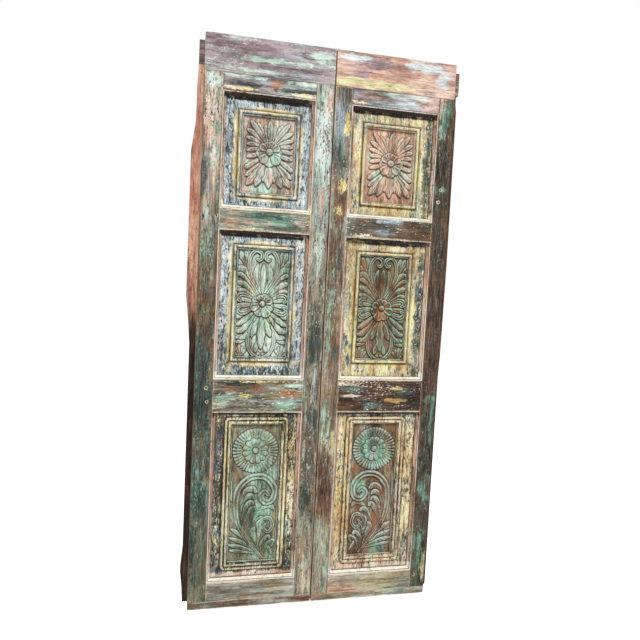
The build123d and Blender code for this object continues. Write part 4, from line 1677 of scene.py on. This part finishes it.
LEFT_BOARDS: dict[str, AgedPaint] = {
    "top_board": AgedPaint(
        ((0.0, T.MAUVE), (0.35, T.MAUVE), (0.7, T.BLUE_GREY), (1.0, T.MAUVE)),
        (
            streaks(T.GREY_MINT, 0.34), streaks(T.DEEP_MAUVE, 0.3), streaks(T.MAUVE, 0.36),
            streaks(
                T.DEEP_MAUVE, 0.75, (-330, 2009, 170, 22), (-127, 1952, 120, 9),
                (-90, 2005, 70, 16),
            ),
            streaks(
                T.PALE_MINT, 0.75, (-347, 2036, 70, 10), (-200, 1972, 140, 14),
                (-250, 1935, 140, 10), (-50, 2010, 50, 24),
            ),
            flecks(T.PALE_MINT, 0.14),
        ),
        Grain.LEVEL, T.GREY_MINT, 0.0012, 0.5, 0.3, 0.45,
    ),
    "outer_stile": AgedPaint(
        (
            (0.0, T.MOSS), (0.16, T.DEEP_TEAL), (0.3, T.DEEP_TEAL), (0.46, T.CHESTNUT), (0.62, T.CHESTNUT),
            (0.74, T.BROWN), (0.84, T.PEACH), (1.0, T.PEACH),
        ),
        (
            streaks(T.OLIVE, 0.26), streaks(T.BROWN, 0.3), streaks(T.TEAL, 0.22),
            washes(T.PALE_MINT, 0.9, (-427, 1889, 36, 34)),
            streaks(T.ROSE_BONE, 0.6, (-430, 1740, 34, 160)),
            streaks(T.GREY_MINT, 0.4, (-425, 1380, 30, 140)), chips(T.DEEP_TEAL, 0.18),
            chips(T.SEA_GREEN, 0.14), streaks(T.MAUVE, 0.5, (-436, 1560, 30, 90)),
            streaks(T.SEA_GREEN, 0.45, (-448, 820, 12, 150)),
            streaks(
                T.DEEP_TEAL, 0.75, (-436, 900, 40, 150), (-430, 420, 40, 90),
                (-448, 1560, 14, 90),
            ),
            flecks(T.DEEP_TEAL, 0.6, (-430, 760, 40, 120), (-450, 250, 20, 90)),
            flecks(T.SEA_GREEN, 0.1), flecks(T.SOOT, 0.1), *pegs((-415, 829), (-412, 779), (-400, 1434)),
        ),
        Grain.UPRIGHT, T.BROWN, streak=0.4, contrast=0.5,
    ),
    "meeting_stile": AgedPaint(
        (
            (0.0, T.OLIVE), (0.16, T.OLIVE), (0.34, T.BROWN), (0.5, T.MOSS), (0.62, T.OLIVE),
            (0.74, T.PALE_MINT), (1.0, T.GREY_MINT),
        ),
        (
            streaks(T.OLIVE, 0.24), streaks(T.BROWN, 0.3), streaks(T.DEEP_TEAL, 0.2),
            washes(T.GREY_MINT, 1.6, (-32, 1720, 40, 250)),
            streaks(T.SAND, 0.5, (-32, 110, 34, 110), (-40, 1180, 20, 60)),
            streaks(T.GREY_MINT, 0.16), chips(T.DEEP_TEAL, 0.16), chips(T.GREY_MINT, 0.16),
            streaks(T.PALE_MINT, 0.7, (-30, 1720, 40, 240)),
            streaks(T.PEACH, 0.5, (-20, 1850, 20, 90), (-30, 1500, 20, 60)),
            streaks(
                T.DEEP_TEAL, 0.85, (-28, 985, 40, 110), (-42, 410, 26, 70), (-30, 720, 36, 44),
            ),
            flecks(T.CHESTNUT, 0.14), flecks(T.MINT, 0.06),
        ),
        Grain.UPRIGHT, T.SALMON, streak=0.35, contrast=0.42,
    ),
    "top_rail": AgedPaint(
        ((0.0, T.MAUVE), (0.3, T.BLUE_GREY), (0.6, T.GREY_MINT), (1.0, T.GREY_MINT)),
        (
            streaks(T.MAUVE, 0.36), streaks(T.SLATE, 0.3), washes(T.RUST, 0.7, (-210, 1894, 34, 20)),
            streaks(T.PALE_MINT, 0.85, (-335, 1911, 90, 10), (-110, 1908, 70, 10)),
            streaks(T.DEEP_TEAL, 0.75, (-310, 1885, 80, 14), (-140, 1880, 90, 12)),
            flecks(T.TEAL, 0.5, (-150, 1873, 90, 14)),
            flecks(T.CREAM, 0.75, (-330, 1870, 90, 8), (-110, 1868, 60, 10)),
        ),
        Grain.LEVEL, T.SLATE,
    ),
    "upper_mid_rail": AgedPaint(
        ((0.0, T.GREY_MINT), (0.15, T.SALMON), (0.4, T.TEAL), (0.75, T.SLATE), (1.0, T.SALMON)),
        (
            streaks(T.GREY_MINT, 0.3), streaks(T.BROWN, 0.3),
            washes(
                T.SALMON, 0.65, (-280, 1425, 30, 20), (-222, 1422, 30, 18),
                (-352, 1420, 36, 22),
            ),
            streaks(T.DEEP_TEAL, 0.65, (-215, 1435, 110, 24), (-130, 1405, 60, 16)),
            flecks(T.PALE_MINT, 0.14), streaks(T.SEA_GREEN, 0.25),
            flecks(T.CREAM, 0.6, (-300, 1396, 120, 8)),
        ),
        Grain.LEVEL, T.CREAM,
    ),
    "lower_mid_rail": AgedPaint(
        ((0.0, T.BROWN), (0.3, T.MOSS), (0.6, T.OLIVE), (1.0, T.OLIVE)),
        (
            streaks(T.TEAL, 0.36), streaks(T.BROWN, 0.3),
            washes(
                T.RUST, 0.85, (-332, 822, 34, 24), (-237, 824, 32, 22), (-117, 806, 56, 18),
            ),
            streaks(T.DEEP_TEAL, 0.7, (-280, 848, 120, 12), (-190, 775, 90, 14)),
            streaks(T.MINT, 0.7, (-75, 838, 90, 9), (-350, 790, 44, 24)),
            streaks(T.SEA_GREEN, 0.6, (-120, 770, 90, 20)), chips(T.PALE_MINT, 0.14),
            flecks(T.CREAM, 0.1), flecks(T.CREAM, 0.6, (-280, 800, 50, 12), (-200, 852, 150, 6)),
            flecks(T.SOOT, 0.14), streaks(T.GREY_MINT, 0.2),
        ),
        Grain.LEVEL, T.SAND,
    ),
    "bottom_rail": AgedPaint(
        ((0.0, T.MOSS), (0.4, T.OLIVE), (0.8, T.OLIVE), (1.0, T.GREY_MINT)),
        (streaks(T.BROWN, 0.4), streaks(T.SAND, 0.3), streaks(T.GREY_MINT, 0.25)),
        Grain.LEVEL, T.ROSE_BONE, 0.002, 0.6, 0.5, 0.45,
    ),
    "bottom_strip": AgedPaint(
        ((0.0, T.MOSS), (0.5, T.BROWN), (1.0, T.BROWN)),
        (
            streaks(T.CHESTNUT, 0.3), streaks(T.SALMON, 0.25), streaks(T.OLIVE, 0.3),
            streaks(T.GREY_MINT, 0.25),
        ),
        Grain.LEVEL, T.SAND,
    ),
}


RIGHT_BOARDS: dict[str, AgedPaint] = {
    "top_board": AgedPaint(
        ((0.0, T.PEACH), (0.3, T.SALMON), (0.7, T.PEACH), (1.0, T.PEACH)),
        (
            streaks(T.SALMON, 0.34), streaks(T.MAUVE, 0.2),
            streaks(T.MAUVE, 0.8, (150, 2012, 120, 26), (100, 1968, 44, 24)),
            streaks(T.DEEP_MAUVE, 0.5, (150, 2002, 90, 16), (60, 2036, 90, 8)),
            streaks(T.CITRON, 0.85, (170, 1938, 170, 18), (50, 1940, 70, 18)),
            streaks(T.ICE, 0.8, (330, 2018, 110, 22), (70, 2024, 70, 14), (410, 1990, 34, 44)),
        ),
        Grain.LEVEL, T.SALMON, 0.0012, 0.5, 0.3, 0.5,
    ),
    "meeting_stile": AgedPaint(
        (
            (0.0, T.BROWN), (0.06, T.OLIVE), (0.2, T.CHESTNUT), (0.4, T.OLIVE), (0.52, T.BROWN),
            (0.68, T.OLIVE), (0.78, T.DEEP_MAUVE), (1.0, T.SLATE),
        ),
        (
            streaks(T.GREY_MINT, 0.3), chips(T.SEA_GREEN, 0.16), chips(T.DEEP_TEAL, 0.14),
            streaks(T.RUST, 0.2), streaks(T.BROWN, 0.26),
            streaks(T.DEEP_MAUVE, 0.6, (35, 1760, 34, 160)),
            streaks(T.TEAL, 0.6, (30, 1700, 20, 90), (50, 950, 20, 70)),
            streaks(T.CHESTNUT, 0.6, (40, 1500, 40, 70), (30, 420, 30, 110)),
            streaks(T.MINT, 0.5, (20, 1100, 24, 200), (24, 700, 20, 120)),
            streaks(T.BLUE_GREY, 0.5, (30, 1800, 34, 110)),
            flecks(T.STRAW, 0.65, (52, 1790, 14, 60), (45, 1570, 26, 34), (32, 1482, 22, 24)),
            washes(T.CITRON, 0.75, (52, 620, 14, 54)), flecks(T.DEEP_TEAL, 0.16),
            flecks(T.PALE_MINT, 0.06),
        ),
        Grain.UPRIGHT, T.SAND,
    ),
    "outer_stile": AgedPaint(
        (
            (0.0, T.MOSS), (0.1, T.DARK_WOOD), (0.3, T.SOOT), (0.42, T.CHESTNUT), (0.6, T.DARK_WOOD),
            (0.8, T.DARK_WOOD), (0.93, T.BROWN), (1.0, T.PEACH),
        ),
        (
            streaks(T.SOOT, 0.4), streaks(T.CHESTNUT, 0.3), streaks(T.MOSS, 0.12), washes(T.SOOT, 0.3),
            chips(T.TEAL, 0.12), streaks(T.PALE_MINT, 0.7, (418, 1800, 20, 50)),
            washes(
                T.SEA_GREEN, 0.7, (420, 1830, 22, 60), (440, 1880, 20, 40), (424, 790, 20, 26),
                (432, 1585, 14, 16),
            ),
            streaks(
                T.SEA_GREEN, 0.4, (415, 150, 50, 130), (430, 430, 30, 80), (446, 700, 14, 110),
            ),
            flecks(T.SEA_GREEN, 0.08), flecks(T.DEEP_TEAL, 0.2), *pegs((418, 1539), (423, 1584), (411, 89)),
            washes(T.CITRON, 0.6, (448, 120, 10, 70)),
        ),
        Grain.UPRIGHT, T.BROWN,
    ),
    "top_rail": AgedPaint(
        ((0.0, T.MAUVE), (0.3, T.BROWN), (0.6, T.ICE), (1.0, T.SALMON)),
        (
            streaks(T.PALE_MINT, 0.65, (230, 1910, 130, 16), (200, 1876, 130, 10)),
            streaks(T.BLUE_GREY, 0.42), streaks(T.MAUVE, 0.3),
            streaks(T.SALMON, 0.6, (130, 1892, 70, 18), (350, 1895, 60, 30)),
            flecks(T.CREAM, 0.6, (90, 1870, 50, 10)),
        ),
        Grain.LEVEL, T.SLATE,
    ),
    "upper_mid_rail": AgedPaint(
        ((0.0, T.GREY_MINT), (0.12, T.BROWN), (0.45, T.SLATE), (0.7, T.CHESTNUT), (1.0, T.CHESTNUT)),
        (
            streaks(T.DEEP_TEAL, 0.46), streaks(T.BROWN, 0.25), streaks(T.DARK_WOOD, 0.36),
            washes(T.BLUE_GREY, 0.8, (230, 1452, 60, 10), (200, 1410, 60, 12)),
            flecks(T.PALE_MINT, 0.14), flecks(T.CREAM, 0.5, (120, 1398, 60, 8)),
        ),
        Grain.LEVEL, T.CREAM,
    ),
    "lower_mid_rail": AgedPaint(
        ((0.0, T.CHESTNUT), (0.3, T.DARK_WOOD), (0.6, T.DARK_WOOD), (1.0, T.SOOT)),
        (
            streaks(T.CHESTNUT, 0.3), streaks(T.SOOT, 0.34),
            washes(T.TEAL, 0.75, (110, 826, 60, 16), (190, 764, 40, 14), (330, 818, 40, 14)),
            streaks(T.BONE, 0.85, (100, 846, 60, 8), (110, 802, 50, 8)),
            streaks(T.STRAW, 0.85, (280, 784, 60, 12), (300, 830, 40, 10)), flecks(T.BONE, 0.08),
            flecks(T.SOOT, 0.2),
        ),
        Grain.LEVEL, T.SAND,
    ),
    "bottom_rail": AgedPaint(
        ((0.0, T.SALMON), (0.3, T.SAND), (0.6, T.CITRON), (1.0, T.OLIVE)),
        (
            streaks(T.OLIVE, 0.36), streaks(T.SALMON, 0.6, (110, 52, 110, 20)),
            streaks(T.GREY_MINT, 0.3), streaks(T.BROWN, 0.2),
        ),
        Grain.LEVEL, T.ROSE_BONE, 0.002, 0.6, 0.5, 0.5,
    ),
    "bottom_strip": AgedPaint(
        ((0.0, T.SALMON), (0.3, T.BROWN), (0.6, T.OLIVE), (1.0, T.MOSS)),
        (streaks(T.RUST, 0.35), streaks(T.SEA_GREEN, 0.3), streaks(T.GREY_MINT, 0.3)),
        Grain.LEVEL, T.SAND,
    ),
}


def extent(low: Vector, high: Vector) -> tuple[float, float, float, float]:
    """The left, right, foot and top of a box, in millimetres."""
    return low.x / MM, high.x / MM, low.z / MM, high.z / MM


def opening_place(motif: Motif, side: Side, edge: str) -> Place:
    """Where one edge of a panel's opening lies on the front.

    Args:
        motif: The panel's carving.
        side: The leaf.
        edge: One of top, foot, soot, inner and outer.

    Returns:
        A place along that edge.
    """
    low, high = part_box(f"{side.word}_{motif.value}_moulding")
    left, right, foot, top = extent(low, high)
    x, z, wide, tall = (left + right) / 2, (foot + top) / 2, 0.8 * (right - left), 0.7 * (top - foot)
    inner, outer = (left, right) if side is Side.RIGHT else (right, left)
    inward = 26 * side.value
    return {
        "top": Place(x, top - 12, wide, 13),
        "foot": Place(x, foot + 12, wide, 20),
        # A band across the field just under the top moulding, for painted shadow.
        "soot": Place(x, top - 18, wide, 8),
        "inner": Place(inner + inward, z, 18, tall),
        "outer": Place(outer - inward, z, 20, tall),
    }[edge]


def bead_places(motif: Motif, side: Side, edges: str) -> tuple[Place, ...]:
    """Where the beads round a carving run on the front.

    Args:
        motif: The carving.
        side: The leaf.
        edges: Letters of the edges: l, r, t and b.

    Returns:
        A place along each edge.
    """
    low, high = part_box(f"{side.word}_{motif.value}_carving")
    left, right, foot, top = extent(low, high)
    x, z, wide, tall = (left + right) / 2, (foot + top) / 2, 0.75 * (right - left), 0.75 * (top - foot)
    spots = {
        "l": Place(left - 17, z, 15, tall),
        "r": Place(right + 17, z, 13, tall),
        "t": Place(x, top + 16, wide, 13),
        "b": Place(x, foot - 18, wide, 15),
    }
    return tuple(spots[edge] for edge in edges)


def moulding_paint(motif: Motif, side: Side) -> AgedPaint:
    """The paint of a panel's moulding: rosy cream, with a painted highlight at the foot and painted shade
    under the top.

    Args:
        motif: The panel's carving.
        side: The leaf.

    Returns:
        The finish.
    """
    foot, top = (opening_place(motif, side, edge) for edge in ("foot", "top"))
    return AgedPaint(
        # White at the low end is a painted highlight on the faces that look up.
        ((0.0, T.CHALK), (0.12, T.PEACH), (0.55, T.SALMON), (1.0, T.SALMON)),
        (
            streaks(T.BROWN, 0.34), streaks(T.ROSE_BONE, 0.3), flecks(T.SLATE, 0.2),
            # The white wash at the foot is a painted highlight and the near black wash under the top is
            # painted shade.
            chips(T.CHESTNUT, 0.2), washes(T.CHALK, 4.0, foot), flecks(T.ROSE_BONE, 0.3, foot),
            washes(T.SOOT, 1.5, top),
        ),
        Grain.UPRIGHT, T.BONE, 0.0016, 0.6, 0.25, 0.35,
    )


def pale_field(motif: Motif, side: Side) -> AgedPaint:
    """The paint of an upper or middle field: blue grey at the left, straw at the right.

    Args:
        motif: The panel's carving.
        side: The leaf.

    Returns:
        The finish.
    """
    edge, beads = partial(opening_place, motif, side), partial(bead_places, motif, side)
    if side is Side.LEFT:
        return AgedPaint(
            ((0.0, T.BLUE_GREY), (0.5, T.STORM), (1.0, T.BLUE_GREY)),
            (
                washes(T.ICE, 0.36), washes(T.BLUE_GREY, 0.4), flecks(T.STORM, 0.4),
                flecks(T.ICE, 0.3), chips(T.DEEP_TEAL, 0.4), chips(T.ICE, 0.3), chips(T.BONE, 0.16),
                chips(T.ICE, 0.3, edge("inner")), washes(T.CREAM, 0.95, *beads("ltb")),
                washes(T.CREAM, 0.6, *beads("r")), washes(T.STRAW, 0.24, *beads("l")),
                # The near black wash under the top moulding is painted shadow.
                flecks(T.SOOT, 0.12), washes(T.SOOT, 1.4, edge("soot")),
            ),
            worn=T.CREAM, streak=0.2, contrast=0.5, dust=0.08,
        )
    return AgedPaint(
        ((0.0, T.CITRON), (0.5, T.GREY_MINT), (1.0, T.CREAM)),
        (
            washes(T.CREAM, 0.4), chips(T.DEEP_TEAL, 0.16), flecks(T.STORM, 0.36),
            washes(T.BLUE_GREY, 0.3), washes(T.STRAW, 0.36), flecks(T.CREAM, 0.3),
            chips(T.SALMON, 0.2), washes(T.STRAW, 0.7, *beads("lrb")),
            streaks(T.MOSS, 0.55, edge("outer")), washes(T.MOSS, 1.1, edge("outer")),
            chips(T.DEEP_TEAL, 0.5, edge("outer")), chips(T.STORM, 0.2), flecks(T.BONE, 0.1),
            # The near black wash under the top moulding is painted shadow.
            washes(T.SOOT, 1.2, edge("soot")),
        ),
        worn=T.CREAM, streak=0.25, contrast=0.55, dust=0.08,
    )


def deep_field(side: Side) -> AgedPaint:
    """The paint of a lower field: dark teal at the left, cream at the right.

    Args:
        side: The leaf.

    Returns:
        The finish.
    """
    edge, beads = partial(opening_place, Motif.LOWER, side), partial(bead_places, Motif.LOWER, side)
    if side is Side.LEFT:
        return AgedPaint(
            ((0.0, T.OLIVE), (0.5, T.TEAL), (1.0, T.DEEP_TEAL)),
            (
                washes(T.DEEP_TEAL, 0.5), washes(T.BLUE_GREY, 0.3), chips(T.CREAM, 0.46),
                chips(T.SOOT, 0.36), flecks(T.CREAM, 0.3), chips(T.DEEP_TEAL, 0.36),
                flecks(T.STORM, 0.2), washes(T.ROSE_BONE, 1.6, edge("foot")),
                # The near black wash at the top is painted shadow under the moulding.
                washes(T.SOOT, 0.8, edge("top")), washes(T.CREAM, 0.5, *beads("lr")),
                flecks(T.BROWN, 0.16),
            ),
            worn=T.CREAM, streak=0.25, contrast=0.6, dust=0.1,
        )
    return AgedPaint(
        ((0.0, T.PEACH), (0.4, T.STRAW), (1.0, T.CREAM)),
        (
            streaks(T.CREAM, 0.4), streaks(T.BROWN, 0.5, edge("outer")), chips(T.DEEP_TEAL, 0.3),
            chips(T.CREAM, 0.3), flecks(T.TEAL, 0.12), flecks(T.BONE, 0.14),
            washes(T.ROSE_BONE, 0.9, edge("foot")), flecks(T.SOOT, 0.14),
            # The near black wash at the top is painted shadow under the moulding.
            washes(T.SOOT, 0.7, edge("top")), chips(T.STORM, 0.2),
        ),
        worn=T.ROSE_BONE, streak=0.25, contrast=0.6, dust=0.1,
    )


def carving_paints(side: Side) -> tuple[CarvedPaint, CarvedPaint, CarvedPaint]:
    """The paints of a leaf's carvings.

    Args:
        side: The leaf.

    Returns:
        The finishes, top one first.
    """
    if side is Side.LEFT:
        upper = (washes(T.MINT, 0.75, (-226, 1656, 46, 50), (-226, 1540, 90, 20)),)
        middle = (washes(T.RUST, 0.16), washes(T.PALE_MINT, 0.3))
        lower = (washes(T.BROWN, 0.3), washes(T.MINT, 0.6, (-200, 440, 60, 170), (-225, 640, 90, 40)))
        return (
            CarvedPaint(T.SALMON, T.GREY_MINT, T.PALE_MINT, 0.6, upper),
            CarvedPaint(T.BROWN, T.MINT, T.PALE_MINT, 0.7, middle),
            CarvedPaint(T.OLIVE, T.SEA_GREEN, T.PALE_MINT, 0.64, lower),
        )
    upper = (washes(T.MINT, 0.6, (262, 1636, 34, 34), (180, 1620, 30, 30)),)
    middle = (washes(T.RUST, 0.3), washes(T.CHESTNUT, 0.3))
    spots = (225, 600, 90, 90), (180, 440, 50, 60), (262, 200, 40, 50)
    return (
        CarvedPaint(T.SALMON, T.SAND, T.PALE_MINT, 0.3, upper),
        CarvedPaint(T.BROWN, T.SEA_GREEN, T.MINT, 0.36, middle),
        CarvedPaint(T.BROWN, T.OLIVE, T.PALE_MINT, 0.4, (washes(T.SEA_GREEN, 0.75, *spots),)),
    )


def panels_for(side: Side) -> list[Panel]:
    """The panels of a leaf with their paints.

    Args:
        side: The leaf.

    Returns:
        Its panels, top one first.
    """
    motifs = ((Motif.UPPER, 1, 0.002), (Motif.MIDDLE, 1, 0.002), (Motif.LOWER, 2, 0.018))
    panels = []
    for (motif, beads, corner), carved in zip(motifs, carving_paints(side)):
        ground = deep_field(side) if motif is Motif.LOWER else pale_field(motif, side)
        panels.append(Panel(motif, beads, corner, ground, moulding_paint(motif, side), carved))
    return panels


@dataclass
class Surround:
    """The plain frame round the doors.

    Attributes:
        left_post: Finish of its left post.
        right_post: Finish of its right post.
        head: Finish of its head.
    """

    left_post: AgedPaint = AgedPaint(
        (
            (0.0, T.SOOT), (0.4, T.SOOT), (0.52, T.DARK_WOOD), (0.62, T.TERRACOTTA),
            (1.0, T.TERRACOTTA),
        ),
        (
            streaks(T.CHESTNUT, 0.2), streaks(T.SALMON, 0.5, (-480, 1750, 60, 260)),
            flecks(T.SOOT, 0.1),
        ),
        Grain.UPRIGHT, T.RUST, 0.001, 0.65, 0.4, 0.5, 0.08,
    )
    right_post: AgedPaint = AgedPaint(
        ((0.0, T.SOOT), (0.5, T.DARK_WOOD), (0.8, T.CHESTNUT), (1.0, T.CHESTNUT)),
        (streaks(T.SOOT, 0.36), streaks(T.BROWN, 0.2), flecks(T.SOOT, 0.14)),
        Grain.UPRIGHT, T.CHESTNUT, 0.001, 0.65, 0.4, 0.5, 0.06,
    )
    head: AgedPaint = AgedPaint(
        ((0.0, T.DEEP_MAUVE), (0.5, T.BROWN), (1.0, T.CHESTNUT)),
        (streaks(T.CHESTNUT, 0.4), streaks(T.MAUVE, 0.3)),
        Grain.LEVEL, T.BROWN,
    )

    def dress(self) -> None:
        """Gives the frame's own nodes their finish."""
        parts = {"left_post": self.left_post, "right_post": self.right_post, "head": self.head}
        for part, finish in parts.items():
            node = f"frame_{part}"
            low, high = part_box(node)
            dress_node(node, finish.material(f"{node}_wood", low, high, POST_SEED))


@dataclass
class Gear:
    """Tracks, carriages, guides and stops behind the leaves.

    Attributes:
        zinc: Finish of the tracks, channels, guides and bars.
        nylon: Finish of the rollers.
        rubber: Finish of the stops.
    """

    zinc: Metal = Metal(T.ZINC, T.SLATE, 0.85, (0.32, 0.5), 0.03)
    nylon: Metal = Metal(T.NYLON, T.SAND, 0.0, (0.4, 0.55), 0.02)
    rubber: Metal = Metal(T.RUBBER, T.SLATE, 0.0, (0.7, 0.85), 0.01)

    def dress(self) -> None:
        """Gives each gear node its finish."""
        zinc = self.zinc.material("zinc_steel")
        finishes = {
            "wheel": self.nylon.material("roller_nylon"), "stops": self.rubber.material("stop_rubber"),
            "track": zinc, "channel": zinc, "guide": zinc, "carriage": zinc,
        }
        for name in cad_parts:
            word = next((word for word in finishes if word in name), None)
            if word:
                dress_node(name, finishes[word])


@dataclass
class Studio:
    """Camera, lights, floor and backdrop.

    Attributes:
        eye: Where the camera stands, in metres.
        yaw: How far it turns right, in degrees.
        pitch: How far it tips up, in degrees.
        roll: How far it leans, in degrees.
        lens: Its focal length, in millimetres.
        key: Power of the main lamp, in watts.
        soft: Power of the lamp that opens the shadows, as a share of that.
        fill: Strength of the light from all sides.
    """

    eye: Triple = (-0.489, -2.152, 1.243)
    yaw: float = 12.83
    pitch: float = -4.32
    roll: float = 2.8
    lens: float = 32.99
    key: float = 738.0
    soft: float = 0.05
    fill: float = 0.17

    def camera(self) -> None:
        """Sets up the camera."""
        yaw, pitch, roll = (math.radians(a) for a in (self.yaw, self.pitch, self.roll))
        flat = math.cos(pitch)
        ahead = Vector((math.sin(yaw) * flat, math.cos(yaw) * flat, math.sin(pitch)))
        level = Vector((math.cos(yaw), -math.sin(yaw), 0.0))
        over = level.cross(ahead)
        right = level * math.cos(roll) + over * math.sin(roll)
        up = over * math.cos(roll) - level * math.sin(roll)
        data = bpy.data.cameras.new("camera")
        data.lens = self.lens
        data.sensor_width = 36.0
        camera = bpy.data.objects.new("camera", data)
        turn = Matrix((right, up, -ahead)).transposed().to_4x4()
        camera.matrix_world = Matrix.Translation(self.eye) @ turn
        bpy.context.scene.collection.objects.link(camera)
        bpy.context.scene.camera = camera

    def lamp(
        self, name: str, power: float, place: Triple, aim: Triple, size: tuple[float, float]
    ) -> None:
        """Adds an area lamp.

        Args:
            name: Its name.
            power: Its power in watts.
            place: Where it hangs.
            aim: What it points at.
            size: Its width and height.
        """
        data = bpy.data.lights.new(name, "AREA")
        data.shape = "RECTANGLE"
        data.size, data.size_y = size
        data.energy = power
        lamp = bpy.data.objects.new(name, data)
        lamp.location = place
        lamp.rotation_euler = (Vector(aim) - Vector(place)).to_track_quat("-Z", "Y").to_euler()
        bpy.context.scene.collection.objects.link(lamp)

    def floor(self) -> None:
        """Lays the pale floor."""
        bm = bmesh.new()
        bmesh.ops.create_grid(bm, x_segments=8, y_segments=8, size=30.0)
        mesh = bpy.data.meshes.new("floor")
        bm.to_mesh(mesh)
        bm.free()
        floor = bpy.data.objects.new("floor", mesh)
        bpy.context.scene.collection.objects.link(floor)
        g, shader = start_material("pale_floor", 0.9)
        spot = g.add("TexCoord").outputs["Object"]
        mottle = g.group(EFFECTS.stain, Vector=spot, Size=0.4).outputs["Cloud"]
        g.put(g.mix(g.times(mottle, 0.1), T.FLOOR.rgba, T.BONE.rgba), shader.inputs["Base Color"])
        shader.inputs["Emission Color"].default_value = (1.0, 1.0, 1.0, 1.0)
        g.put(g.times(g.seen(), 0.85), shader.inputs["Emission Strength"])
        mesh.materials.append(bpy.data.materials["pale_floor"])

    def world(self) -> None:
        """Makes the backdrop white and the ambient light soft."""
        world = bpy.data.worlds.new("studio")
        bpy.context.scene.world = world
        world.use_nodes = True
        g = Graph(world.node_tree)
        shade = next(n for n in world.node_tree.nodes if n.type == "BACKGROUND")
        shade.inputs["Color"].default_value = (1.0, 1.0, 1.0, 1.0)
        g.put(g.ease(g.seen(), 0.0, 1.0, (self.fill, 1.0)), shade.inputs["Strength"])

    def build(self) -> None:
        """Sets up the whole studio."""
        self.camera()
        self.lamp("key", self.key, (-0.8, -6.2, 8.6), (0.0, 0.0, 1.0), (1.1, 0.9))
        self.lamp("soft", self.key * self.soft, (1.2, -3.6, 2.0), (0.0, 0.0, 0.8), (1.6, 1.6))
        self.floor()
        self.world()
        bpy.context.scene.view_settings.view_transform = "Standard"


def main() -> None:
    """Builds the studio, the frame, the gear and both leaves."""
    logging.basicConfig(level=logging.INFO, format="%(message)s")
    Studio().build()
    Surround().dress()
    Gear().dress()
    Leaf(Side.LEFT, LEFT_BOARDS, panels_for(Side.LEFT)).build()
    Leaf(Side.RIGHT, RIGHT_BOARDS, panels_for(Side.RIGHT)).build()
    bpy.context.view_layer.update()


if __name__ == "__main__":
    main()
